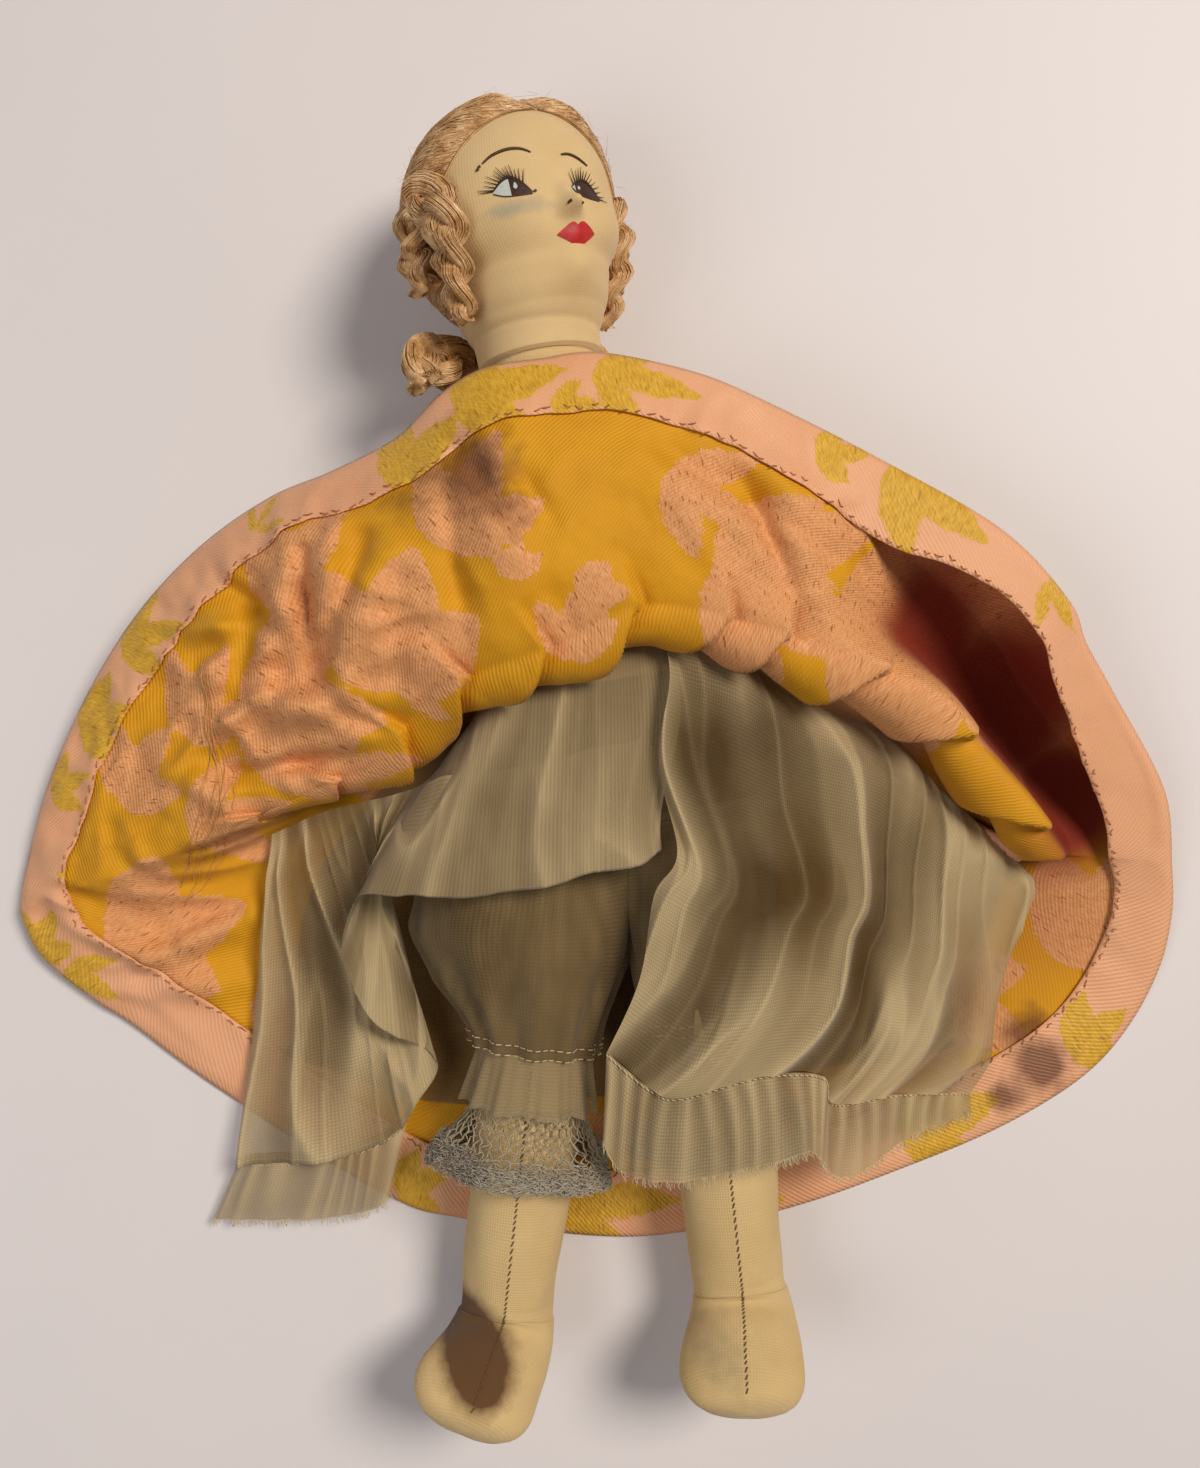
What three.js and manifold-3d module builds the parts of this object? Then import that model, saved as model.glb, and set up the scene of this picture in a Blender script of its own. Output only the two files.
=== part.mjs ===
// A stuffed cloth doll that lies on its back with its brocade skirt turned up over the chest.
// Millimetres, +Z up. The origin is on the surface that the doll lies on, under the middle of the hip seams.
// +Y runs up the body to the head, +X to the doll's left hand, and +Z out of the chest.
import * as THREE from "three";
import { mergeVertices } from "three/addons/utils/BufferGeometryUtils.js";
import Module from "manifold-3d";

const wasm = await Module();
wasm.setup();

// Cloth thicknesses and the clearance between pieces that touch.
const GAP = 0.4;
const SKIN = 0.6;
const BROCADE = 1.2;
const MUSLIN = 0.9;
const KNIT = 1.8;

// Torso, measured from the hip seams up to the neck.
const TORSO_LENGTH = 136;
const TORSO_TILT = 10;
const HIP_WIDTH = 73;
const HIP_DEPTH = 42;
const SEAT_HEIGHT = 32;
const WAIST_WIDTH = 59;
const WAIST_DEPTH = 36;
const WAIST_HEIGHT = 60;
const CHEST_WIDTH = 68;
const CHEST_DEPTH = 42;
const CHEST_HEIGHT = 90;
const SHOULDER_WIDTH = 66;
const SHOULDER_DEPTH = 36;
const SHOULDER_HEIGHT = 112;

// Sewn seams: each limb has an unstuffed tab that swings on a row of linen thread.
const THREAD = 1.2;
const TAB_DEPTH = 2;
const TAB_SLOPE = 0.8;

// Legs and feet.
const HIP_SPACING = 39;
const LEG_LENGTH = 136;
const RIGHT_LEG_SPREAD = -16.3;
const LEFT_LEG_SPREAD = -3.7;
const LEG_DROP = 2.6;
const THIGH_WIDTH = 35;
const THIGH_START = 34;
const KNEE_WIDTH = 31;
const ANKLE_WIDTH = 27;
const FOOT_LENGTH = 42;
const FOOT_WIDTH = 35;
const FOOT_DEPTH = 21;
const FOOT_RISE = 56;
const RIGHT_FOOT_TURN = -16;
const LEFT_FOOT_TURN = -8;

// Arms.
const ARM_LENGTH = 86;
const ARM_WIDTH = 18;
const WRIST_WIDTH = 12.5;
const HAND_WIDTH = 16.5;
const ARM_ROOT_WIDTH = 11;
const ARM_SPREAD = 46;
const ARM_DROP = 7;
const ARM_SWING = 12;

// Head and neck, in a frame with +Z out of the face.
const HEAD_RISE = 40.5;
const HEAD_WIDTH = 58;
const HEAD_HEIGHT = 58;
const FACE_DEPTH = 29;
const SKULL_DEPTH = 30;
const HEAD_TURN = 28;
const NECK_WIDTH = 34;
const THROAT_SWELL = 3.6;
const NECK_AXIS_HEIGHT = 34;
const HEAD_WALL = 2;
const EYE_SPACING = 21;
const DOWEL = 6;
const DOWEL_LENGTH = 64;
const BODICE_NECK = 14;

// Hair.
const HAIR = 3.2;
const HAIRLINE_DEPTH = 8.2;
const HAIRLINE_SLOPE = 30;
const STRAND = 5.6;
const PLAIT_SPAN = 6.6;
const PLAIT_RISE = 3.4;
const PLAIT_TURNS = 3;
const BUN_STRAND = 8.6;
const BUN_TURNS = 2;

// Skirt: one tube of brocade from the waist to a wide hem. Its length is measured as it lies, from the hem at
// the neck to the hem under the legs.
const HEM_WIDTH = 354;
const HEM_LENGTH = 259;
const HEM_BELOW_NECK = 4.5;
const ROLL_RADIUS = 9.5;
const FACING = 0.8;
const FACING_WIDTH = 21;

// Petticoat and bloomers.
const PETTICOAT_TOP = 55;
const PETTICOAT_WIDTH = 223;
const PETTICOAT_BACK_HEM = -70;
const RUFFLE = 0.8;
const RUFFLE_DEPTH = 23;
const RUFFLE_WAVE = 1.1;
const BLOOMERS_TOP = 44;
const BLOOMERS_WIDTH = 47;
const BLOOMERS_SWAY = 16;
const BLOOMERS_LENGTH = 60;
const FRILL_LENGTH = 16;
const FRILL_WAVES = 11;
const CUFF_LENGTH = 17;

// Heights that follow from the layers under the hips: skirt, petticoat and bloomers lie below the body.
const PETTICOAT_FLOOR = BROCADE + GAP;
const BLOOMERS_FLOOR = PETTICOAT_FLOOR + MUSLIN + GAP;
const BODY_AXIS = BLOOMERS_FLOOR + MUSLIN + GAP + HIP_DEPTH / 2;
const SEAM_EDGE = THREAD / 2 + GAP;
const HEAD_CENTRE = TORSO_LENGTH + HEAD_RISE;

const { degToRad, lerp, smoothstep } = THREE.MathUtils;
const turn = Math.PI * 2;

// Closed geometry from points and triangles, with its faces turned outwards.
function closedBody(points, triangles) {
  let volume = 0;
  const across = new THREE.Vector3();
  for (let i = 0; i < triangles.length; i += 3) {
    const [a, b, c] = [points[triangles[i]], points[triangles[i + 1]], points[triangles[i + 2]]];
    volume += across.crossVectors(b, c).dot(a);
  }
  const ordered = volume > 0 ? triangles : [...triangles].reverse();
  return new THREE.BufferGeometry().setFromPoints(points).setIndex(ordered);
}

// Skins a list of rings that all have the same number of points. Each quad is split on its shorter diagonal.
// A closed list joins its last ring to its first; an open one is capped at both ends.
function loft(rings, closed = false) {
  const count = rings[0].length;
  const points = rings.flat();
  const triangles = [];
  const spans = closed ? rings.length : rings.length - 1;
  for (let r = 0; r < spans; r++) {
    const here = r * count;
    const there = ((r + 1) % rings.length) * count;
    for (let k = 0; k < count; k++) {
      const next = (k + 1) % count;
      const [a, b, c, d] = [here + k, here + next, there + next, there + k];
      const straight = points[a].distanceTo(points[c]) <= points[b].distanceTo(points[d]);
      triangles.push(...(straight ? [a, b, c, a, c, d] : [a, b, d, b, c, d]));
    }
  }
  if (!closed) {
    for (const first of [true, false]) {
      const ring = first ? rings[0] : rings[rings.length - 1];
      const start = first ? 0 : (rings.length - 1) * count;
      const centre = new THREE.Vector3();
      ring.forEach((p) => centre.addScaledVector(p, 1 / count));
      points.push(centre);
      for (let k = 0; k < count; k++) {
        const pair = [start + k, start + ((k + 1) % count)];
        if (first) pair.reverse();
        triangles.push(pair[0], pair[1], points.length - 1);
      }
    }
  }
  return closedBody(points, triangles);
}

// A sleeve is open at both ends: its outer rings run one way and its inner rings run back.
function sleeve(outer, inner) {
  return loft([...outer, ...[...inner].reverse()], true);
}

// A sheet of cloth with a thickness, from a grid of points on its middle surface.
// Rows that close on themselves make a tube; rows that don't make a panel.
function clothNormals(rows, closedRows) {
  return rows.map((row, r) => row.map((p, k) => {
    const last = row.length - 1;
    const before = row[k > 0 ? k - 1 : closedRows ? last : 0];
    const after = row[k < last ? k + 1 : closedRows ? 0 : last];
    const below = rows[Math.max(0, r - 1)][k];
    const above = rows[Math.min(rows.length - 1, r + 1)][k];
    const along = new THREE.Vector3().subVectors(after, before);
    const up = new THREE.Vector3().subVectors(above, below);
    return along.cross(up).normalize();
  }));
}

function clothSheet(rows, thickness, closedRows) {
  const normals = clothNormals(rows, closedRows);
  const shifted = (share) => rows.map((row, r) => row.map(
    (p, k) => p.clone().addScaledVector(normals[r][k], share * thickness)));
  const [top, under] = [shifted(0.5), shifted(-0.5)];
  if (closedRows) return sleeve(top, under);
  return loft(top.map((row, r) => [...row, ...[...under[r]].reverse()]));
}

// Booleans between closed geometries that share a frame.
function solidOf(geometry) {
  const bare = new THREE.BufferGeometry().setAttribute("position", geometry.getAttribute("position"));
  bare.setIndex(geometry.index);
  const merged = mergeVertices(bare, 1e-4);
  return new wasm.Manifold(new wasm.Mesh({
    numProp: 3,
    vertProperties: merged.attributes.position.array,
    triVerts: new Uint32Array(merged.index.array),
  }));
}

function geometryOf(solid) {
  const mesh = solid.getMesh();
  const points = [];
  for (let i = 0; i < mesh.numVert; i++) {
    points.push(new THREE.Vector3().fromArray(mesh.vertProperties, i * mesh.numProp));
  }
  return new THREE.BufferGeometry().setFromPoints(points).setIndex([...mesh.triVerts]);
}

const SLIVER = 0.03;

function cut(geometry, ...tools) {
  const rest = tools.reduce((solid, tool) => solid.subtract(solidOf(tool)), solidOf(geometry));
  return geometryOf(rest.simplify(SLIVER));
}

// A cut that keeps only the largest of the bodies that are left.
function trim(geometry, tool) {
  const bodies = solidOf(geometry).subtract(solidOf(tool)).decompose();
  bodies.sort((a, b) => b.volume() - a.volume());
  return geometryOf(bodies[0].simplify(SLIVER));
}

function join(...geometries) {
  const whole = geometries.map(solidOf).reduce((sum, solid) => sum.add(solid));
  return geometryOf(whole.simplify(SLIVER));
}

// A ring across a limb's spine. The angle turns the spine from -Y (0 degrees) up towards +Z.
function section({ y, z = 0, x = 0, angle = 0, width, front, back = front }, count, inset = 0) {
  const lift = degToRad(angle);
  const ring = [];
  for (let k = 0; k < count; k++) {
    const around = (turn * k) / count;
    const rise = Math.sin(around) * ((Math.sin(around) > 0 ? front : back) - inset);
    ring.push(new THREE.Vector3(
      x + Math.cos(around) * (width / 2 - inset),
      y + rise * Math.sin(lift),
      z + rise * Math.cos(lift)));
  }
  return ring;
}

function sections(stations, count, inset = 0) {
  return stations.map((station) => section(station, count, inset));
}

function material(colour, roughness) {
  return new THREE.MeshStandardMaterial({ color: colour, roughness, metalness: 0 });
}

const CALICO = material(0xcdb98a, 0.9);
const MOULDED_CLOTH = material(0xd9c690, 0.92);
const KAPOK = material(0xe6dcc4, 1);
const HAIR_FLOSS = material(0xc28a52, 0.45);
const GOLD_BROCADE = material(0xcf8f38, 0.6);
const HEM_SATEEN = material(0xd98f66, 0.5);
const SHEER_MUSLIN = material(0x9c8a58, 0.9);
const GREY_KNIT = material(0x8f8672, 1);
const LINEN = material(0xb9a67c, 0.9);
const BEECH = material(0xc29a62, 0.7);

const doll = new THREE.Group();
const body = new THREE.Group();
body.rotation.z = degToRad(TORSO_TILT);
doll.add(body);

function place(group, name, geometry, finish) {
  const mesh = new THREE.Mesh(geometry, finish);
  mesh.name = name;
  group.add(mesh);
  return mesh;
}

// A straight thread, pin or tool along an axis through a centre.
function rod(diameter, length, centre, axis, sides = 8) {
  const geometry = new THREE.CylinderGeometry(diameter / 2, diameter / 2, length, sides);
  if (axis === "x") geometry.rotateZ(Math.PI / 2);
  if (axis === "z") geometry.rotateX(Math.PI / 2);
  return geometry.translate(...centre);
}

// Depth of a limb or of the torso close to a sewn seam, where it flattens to an unstuffed tab.
function seamDepth(distance, full) {
  return Math.min(full, TAB_DEPTH / 2 + (distance - SEAM_EDGE) * TAB_SLOPE);
}

// Torso: a calico skin that is open at the neck, over its filling.
const TORSO_SIDES = 16;
const neckRise = (y) => lerp(0, NECK_AXIS_HEIGHT - BODY_AXIS, smoothstep(y, CHEST_HEIGHT, TORSO_LENGTH));
const hipStation = (y, width) => ({ y, z: BODY_AXIS, width, front: seamDepth(y, HIP_DEPTH / 2) });
const chestStation = (y, width, front) => ({ y, z: BODY_AXIS + neckRise(y), width, front });
const torsoStations = [
  hipStation(SEAM_EDGE, HIP_WIDTH - 8),
  hipStation(SEAT_HEIGHT * 0.31, HIP_WIDTH - 3),
  hipStation(SEAT_HEIGHT * 0.62, HIP_WIDTH),
  hipStation(SEAT_HEIGHT, HIP_WIDTH - 1),
  { y: WAIST_HEIGHT, z: BODY_AXIS, width: WAIST_WIDTH, front: WAIST_DEPTH / 2 },
  { y: CHEST_HEIGHT, z: BODY_AXIS, width: CHEST_WIDTH, front: CHEST_DEPTH / 2 },
  chestStation(SHOULDER_HEIGHT, SHOULDER_WIDTH, SHOULDER_DEPTH / 2),
  chestStation(TORSO_LENGTH - 12, SHOULDER_WIDTH - 12, SHOULDER_DEPTH / 2 - 1),
  chestStation(TORSO_LENGTH - 5, NECK_WIDTH + 3, NECK_WIDTH / 2),
  chestStation(TORSO_LENGTH, NECK_WIDTH - 3, NECK_WIDTH / 2 - 1.5),
];
const DOWEL_TOP = TORSO_LENGTH + DOWEL_LENGTH / 2;
const dowelBore = rod(DOWEL + 2 * GAP, DOWEL_LENGTH + 2 * GAP,
  [0, TORSO_LENGTH, NECK_AXIS_HEIGHT], "y", 12);
const torsoSkin = cut(
  loft(sections(torsoStations, TORSO_SIDES)),
  loft(sections([...torsoStations.slice(1), { ...torsoStations.at(-1), y: TORSO_LENGTH + SKIN }],
    TORSO_SIDES, SKIN)));
place(body, "torso_skin", torsoSkin, CALICO);
const torsoFilling = cut(
  loft(sections([...torsoStations.slice(2, -1), { ...torsoStations.at(-1), y: TORSO_LENGTH - SKIN }],
    TORSO_SIDES, SKIN + GAP)),
  dowelBore);
place(body, "torso_filling", torsoFilling, KAPOK);
place(body, "neck_dowel", rod(DOWEL, DOWEL_LENGTH, [0, TORSO_LENGTH, NECK_AXIS_HEIGHT], "y", 12), BEECH);

// Width and depth of the torso at a height, for the clothes that lie on it.
function torsoAt(y) {
  const above = Math.max(1, torsoStations.findIndex((s) => s.y >= y));
  const [a, b] = [torsoStations[above - 1], torsoStations[above]];
  const share = (y - a.y) / (b.y - a.y);
  return {
    y,
    z: lerp(a.z, b.z, share),
    width: lerp(a.width, b.width, share),
    front: lerp(a.front, b.front, share),
  };
}

function grown(station, offset) {
  return { ...station, width: station.width + 2 * offset, front: station.front + offset,
    back: (station.back ?? station.front) + offset };
}

// Hip and shoulder threads, in the gap between the torso and each limb's tab.
const sides = [
  { side: "right", sign: -1, legSpread: RIGHT_LEG_SPREAD, footTurn: RIGHT_FOOT_TURN },
  { side: "left", sign: 1, legSpread: LEFT_LEG_SPREAD, footTurn: LEFT_FOOT_TURN },
];
const SHOULDER_AXIS = BODY_AXIS + neckRise(SHOULDER_HEIGHT);
const SHOULDER_SEAM = SHOULDER_WIDTH / 2 + GAP + THREAD / 2;
const SHOULDER_X = SHOULDER_SEAM + THREAD / 2 + GAP + ARM_ROOT_WIDTH / 2;
for (const { side, sign } of sides) {
  place(body, `${side}_hip_thread`,
    rod(THREAD, THIGH_WIDTH - 9, [sign * HIP_SPACING / 2, 0, BODY_AXIS], "x"), LINEN);
  place(body, `${side}_shoulder_thread`,
    rod(THREAD, ARM_ROOT_WIDTH, [sign * SHOULDER_SEAM, SHOULDER_HEIGHT, SHOULDER_AXIS], "z"), LINEN);
}

// Legs: a skin sewn from two halves, flat at the hip and stuffed from there down to a turned-up foot.
const LEG_SIDES = 10;
const kneeDistance = LEG_LENGTH * 0.55;
const legDepth = (width) => width / 2 - 0.8;
function legStation(distance, width) {
  return { y: -distance, width, front: seamDepth(distance, legDepth(width)) };
}
function footStation(share, angle, width, front, back) {
  const bend = degToRad(FOOT_RISE);
  const heel = FOOT_LENGTH * 0.28;
  const out = Math.min(share * FOOT_LENGTH, heel);
  const up = Math.max(0, share * FOOT_LENGTH - heel);
  return {
    y: -LEG_LENGTH - out * 0.85 - up * Math.cos(bend),
    z: out * 0.28 + up * Math.sin(bend),
    angle: FOOT_RISE * angle, width, front, back,
  };
}
const legStations = [
  legStation(SEAM_EDGE, THIGH_WIDTH - 7),
  legStation(THIGH_START * 0.265, THIGH_WIDTH - 3),
  legStation(THIGH_START * 0.53, THIGH_WIDTH - 1),
  legStation(THIGH_START, THIGH_WIDTH),
  legStation(kneeDistance, KNEE_WIDTH),
  legStation(LEG_LENGTH * 0.8, (KNEE_WIDTH + ANKLE_WIDTH) / 2 + 0.5),
  legStation(LEG_LENGTH, ANKLE_WIDTH),
  footStation(0.14, 0.3, ANKLE_WIDTH + 1.5, FOOT_DEPTH * 0.56, FOOT_DEPTH * 0.68),
  footStation(0.3, 0.7, FOOT_WIDTH - 4.5, FOOT_DEPTH * 0.52, FOOT_DEPTH * 0.66),
  footStation(0.56, 1, FOOT_WIDTH - 0.5, FOOT_DEPTH * 0.5, FOOT_DEPTH * 0.5),
  footStation(0.8, 1, FOOT_WIDTH, FOOT_DEPTH * 0.43, FOOT_DEPTH * 0.43),
  footStation(0.95, 1, FOOT_WIDTH - 7, FOOT_DEPTH * 0.33, FOOT_DEPTH * 0.33),
  footStation(1, 1, FOOT_WIDTH - 18, FOOT_DEPTH * 0.17, FOOT_DEPTH * 0.17),
];
const FOOT_START = 7;

// Turns the foot's rings out or in about the ankle.
const UPRIGHT = new THREE.Vector3(0, 0, 1);
function footTurned(rings, from, degrees) {
  const ankle = new THREE.Vector3(0, -LEG_LENGTH, 0);
  const steps = legStations.length - FOOT_START - 2;
  return rings.map((ring, r) => ring.map((p) => {
    const share = r < from ? 0 : Math.min(1, (r - from + 1) / steps);
    return p.clone().sub(ankle).applyAxisAngle(UPRIGHT, degToRad(degrees * share)).add(ankle);
  }));
}

// Hangs a leg that was made straight down -Y from its hip. Close to the seam its rings stay along the seam;
// farther down they square up to the spread leg, which also slopes down to the resting surface.
function hung(rings, { sign, legSpread }) {
  const spread = degToRad(legSpread);
  return rings.map((ring) => ring.map((p) => {
    const squared = spread * smoothstep(-p.y, 4, 44);
    return new THREE.Vector3(
      sign * HIP_SPACING / 2 - p.y * Math.sin(spread) + p.x * Math.cos(squared),
      p.y * Math.cos(spread) + p.x * Math.sin(squared),
      BODY_AXIS + p.z + p.y * Math.tan(degToRad(LEG_DROP)));
  }));
}
for (const limb of sides) {
  const { side, footTurn } = limb;
  const legRings = (stations, inset, from) =>
    hung(footTurned(sections(stations, LEG_SIDES, inset), from, footTurn), limb);
  const hollowStations = [{ ...legStations[0], y: legStations[0].y + SKIN }, ...legStations.slice(1, -1)];
  const outside = loft(legRings(legStations, 0, FOOT_START));
  const skin = cut(outside, loft(legRings(hollowStations, SKIN, FOOT_START)));
  place(body, `${side}_leg_skin`, skin, CALICO);
  const filling = legRings(legStations.slice(1, -1), SKIN + GAP, FOOT_START - 1);
  const inward = new THREE.Vector3().subVectors(filling.at(-2)[0], filling.at(-1)[0]).normalize();
  filling.at(-1).forEach((p) => p.addScaledVector(inward, SKIN + GAP));
  place(body, `${side}_leg_filling`, loft(filling), KAPOK);
}

// Arms: hidden under the turned-up skirt. A mitten arm whose round root swings beside the shoulder thread.
const ARM_SIDES = 10;
const rootHalf = ARM_ROOT_WIDTH / 2;
const rootStation = (y) => ({ y, width: 2 * Math.sqrt(rootHalf ** 2 - y ** 2), front: rootHalf - y * 0.1 });
const armStations = [
  rootStation(rootHalf * 0.9),
  rootStation(rootHalf * 0.5),
  rootStation(0),
  { y: -ARM_LENGTH * 0.14, width: ARM_WIDTH - 1.5, front: ARM_WIDTH / 2 - 1 },
  { y: -ARM_LENGTH * 0.32, width: ARM_WIDTH, front: ARM_WIDTH / 2 },
  { y: -ARM_LENGTH * 0.56, width: ARM_WIDTH - 2, front: ARM_WIDTH / 2 - 1 },
  { y: -ARM_LENGTH * 0.78, width: WRIST_WIDTH, front: WRIST_WIDTH / 2 },
  { y: -ARM_LENGTH * 0.88, width: HAND_WIDTH, front: WRIST_WIDTH * 0.4 },
  { y: -ARM_LENGTH * 0.97, width: HAND_WIDTH - 3, front: WRIST_WIDTH * 0.32 },
  { y: -ARM_LENGTH, width: HAND_WIDTH - 10, front: WRIST_WIDTH * 0.16 },
];
for (const { side, sign } of sides) {
  const arm = new THREE.Group();
  arm.position.set(sign * SHOULDER_X, SHOULDER_HEIGHT, SHOULDER_AXIS);
  arm.rotation.set(degToRad(ARM_DROP), 0, degToRad(sign * ARM_SPREAD), "ZXY");
  body.add(arm);
  const hollowStations = [{ ...armStations[0], y: armStations[0].y + SKIN }, ...armStations.slice(1, -1)];
  const thumb = new THREE.SphereGeometry(1, 8, 6);
  thumb.scale(HAND_WIDTH * 0.2, HAND_WIDTH * 0.4, WRIST_WIDTH * 0.28);
  thumb.translate(-sign * HAND_WIDTH * 0.55, -ARM_LENGTH * 0.84, 0);
  const skin = cut(join(loft(sections(armStations, ARM_SIDES)), thumb),
    loft(sections(hollowStations, ARM_SIDES, SKIN)));
  place(arm, `${side}_arm_skin`, skin, CALICO);
  place(arm, `${side}_arm_filling`, loft(sections(armStations.slice(2, -2), ARM_SIDES, SKIN + GAP)), KAPOK);
}

// Head: a moulded cloth mask and skull over its filling. Nose, cheeks, chin and eye hollows are swellings.
const HEAD_RINGS = 12;
const HEAD_SIDES = 22;
const swellings = [
  { x: 1, y: -7.6, reach: 3.2, height: 4 },
  { x: 12.5, y: -11, reach: 8, height: 1.8 },
  { x: -11.5, y: -11, reach: 8, height: 1.8 },
  { x: 2, y: -22.5, reach: 5.5, height: 2.2 },
  { x: 2.4, y: -14.6, reach: 4.6, height: 1.5 },
  { x: EYE_SPACING / 2 - 3, y: -2.4, reach: 5, height: -1.4 },
  { x: -EYE_SPACING / 2 - 3, y: -1.6, reach: 5, height: -1.4 },
];
function headPoint(around, up, offset) {
  const half = HEAD_HEIGHT / 2;
  const y = -Math.cos(up) * half;
  const spread = Math.sin(up) ** 0.86;
  const jaw = 1 - 0.16 * smoothstep(-y, half * 0.2, half);
  const side = Math.cos(around) * (HEAD_WIDTH / 2) * spread * jaw;
  const depth = Math.sin(around) > 0 ? FACE_DEPTH * Math.sin(up) ** 0.7 : SKULL_DEPTH * spread;
  const p = new THREE.Vector3(side, y, Math.sin(around) * depth);
  const outward = new THREE.Vector3(p.x, p.y * 0.9, p.z).normalize();
  const swell = p.z <= 0 ? 0 : swellings.reduce((sum, s) => {
    const away = ((p.x - s.x) ** 2 + (p.y - s.y) ** 2) / (s.reach ** 2);
    return sum + s.height * Math.exp(-away);
  }, 0);
  return p.addScaledVector(outward, offset).add(new THREE.Vector3(0, 0, swell));
}
function headForm(offset, wholeRings = HEAD_RINGS, count = HEAD_SIDES) {
  const rings = [];
  for (let r = 1; r < wholeRings; r++) {
    const up = (Math.PI * r) / wholeRings;
    const ring = [];
    for (let k = 0; k < count; k++) {
      const even = (turn * k) / count;
      ring.push(headPoint(even - 0.28 * Math.sin(2 * even - Math.PI), up, offset));
    }
    rings.push(ring);
  }
  return loft(rings);
}
const NECK_BASE = TORSO_LENGTH + GAP - HEAD_CENTRE;
const NECK_TOP = -HEAD_HEIGHT * 0.36;
// The neck narrows to a crease above the shoulders and swells into the throat.
function neckForm(offset) {
  const rim = NECK_WIDTH / 2 + offset;
  return new THREE.LatheGeometry([
    new THREE.Vector2(0, NECK_BASE),
    new THREE.Vector2(rim + 0.4, NECK_BASE),
    new THREE.Vector2(rim - 0.3, NECK_BASE + 4.5),
    new THREE.Vector2(rim + THROAT_SWELL * 0.3, NECK_BASE + 6.5),
    new THREE.Vector2(rim + THROAT_SWELL * 0.85, NECK_BASE + 10),
    new THREE.Vector2(rim + THROAT_SWELL, NECK_BASE + 15),
    new THREE.Vector2(rim + THROAT_SWELL * 0.55, NECK_TOP),
    new THREE.Vector2(0, NECK_TOP),
  ], 20);
}
const headInside = new THREE.SphereGeometry(1, 14, 8);
const headInset = HEAD_WALL + 1.5;
headInside.scale(HEAD_WIDTH / 2 - headInset, HEAD_HEIGHT / 2 - headInset, FACE_DEPTH - headInset - 1);
const neckMiddle = [0, (NECK_BASE + NECK_TOP) / 2, 0];
const neckInside = rod(NECK_WIDTH - 2 * HEAD_WALL, NECK_TOP - NECK_BASE + 4, neckMiddle, "y", 16);
const hollowHead = join(headInside, neckInside);
const head = new THREE.Group();
head.position.set(0, HEAD_CENTRE, NECK_AXIS_HEIGHT);
head.rotation.y = degToRad(HEAD_TURN);
body.add(head);
place(head, "head_mask", cut(join(headForm(0), neckForm(0)), hollowHead), MOULDED_CLOTH);

const fillingBall = new THREE.SphereGeometry(1, 14, 8);
const fillingInset = headInset + GAP;
fillingBall.scale(
  HEAD_WIDTH / 2 - fillingInset, HEAD_HEIGHT / 2 - fillingInset, FACE_DEPTH - fillingInset - 1);
const fillingNeck = rod(NECK_WIDTH - 2 * HEAD_WALL - 2 * GAP, NECK_TOP - NECK_BASE - 1, neckMiddle, "y", 16);
const boreEnds = [TORSO_LENGTH - DOWEL, DOWEL_TOP + GAP];
const boreMiddle = [0, (boreEnds[0] + boreEnds[1]) / 2 - HEAD_CENTRE, 0];
const headBore = rod(DOWEL + 2 * GAP, boreEnds[1] - boreEnds[0], boreMiddle, "y", 12);
place(head, "head_filling", cut(join(fillingBall, fillingNeck), headBore), KAPOK);

// Hair: a smooth cap behind the hairline, a plait coiled over each ear and a plaited roll at the nape.
const faceSide = new THREE.BoxGeometry(HEAD_WIDTH * 2, HEAD_HEIGHT * 2, HEAD_WIDTH);
faceSide.translate(0, 0, HAIRLINE_DEPTH + HEAD_WIDTH / 2);
faceSide.rotateX(degToRad(HAIRLINE_SLOPE));
const throat = new THREE.BoxGeometry(HEAD_WIDTH * 2, HEAD_HEIGHT, HEAD_WIDTH * 2);
throat.translate(0, -HEAD_HEIGHT * 0.92, 0);
const wigCap = cut(headForm(HAIR), headForm(GAP), neckForm(GAP), faceSide, throat);
place(head, "wig_cap", wigCap, HAIR_FLOSS);

// Three strands cross over one another along a line on the head; together they are one plait.
function plait(line, strand, span, rise, turns, outward) {
  const STEPS_PER_TURN = 6;
  const STRAND_SIDES = 5;
  const steps = Math.round(turns * STEPS_PER_TURN);
  const strands = [0, 1, 2].map((which) => {
    const rings = [];
    for (let s = 0; s <= steps; s++) {
      const at = s / steps;
      const phase = turn * (at * turns + which / 3);
      const taper = 0.55 + 0.45 * Math.sin(Math.PI * Math.min(1, Math.max(0.06, at * 1.0)) ** 0.8);
      const centre = line.getPointAt(at);
      const along = line.getTangentAt(at);
      const normal = outward(centre);
      const across = new THREE.Vector3().crossVectors(along, normal).normalize();
      const spine = centre.clone()
        .addScaledVector(across, (span / 2) * taper * Math.sin(phase))
        .addScaledVector(normal, (rise / 2) * Math.sin(2 * phase));
      const ring = [];
      for (let k = 0; k < STRAND_SIDES; k++) {
        const around = (turn * k) / STRAND_SIDES;
        ring.push(spine.clone()
          .addScaledVector(across, (strand / 2) * taper * Math.cos(around))
          .addScaledVector(normal, (strand / 2) * taper * Math.sin(around)));
      }
      rings.push(ring);
    }
    return loft(rings);
  });
  return join(...strands);
}
const sideways = (p) => new THREE.Vector3(p.x, 0, p.z * 0.35).normalize();
const hairClear = headForm(HAIR + GAP);
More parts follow.
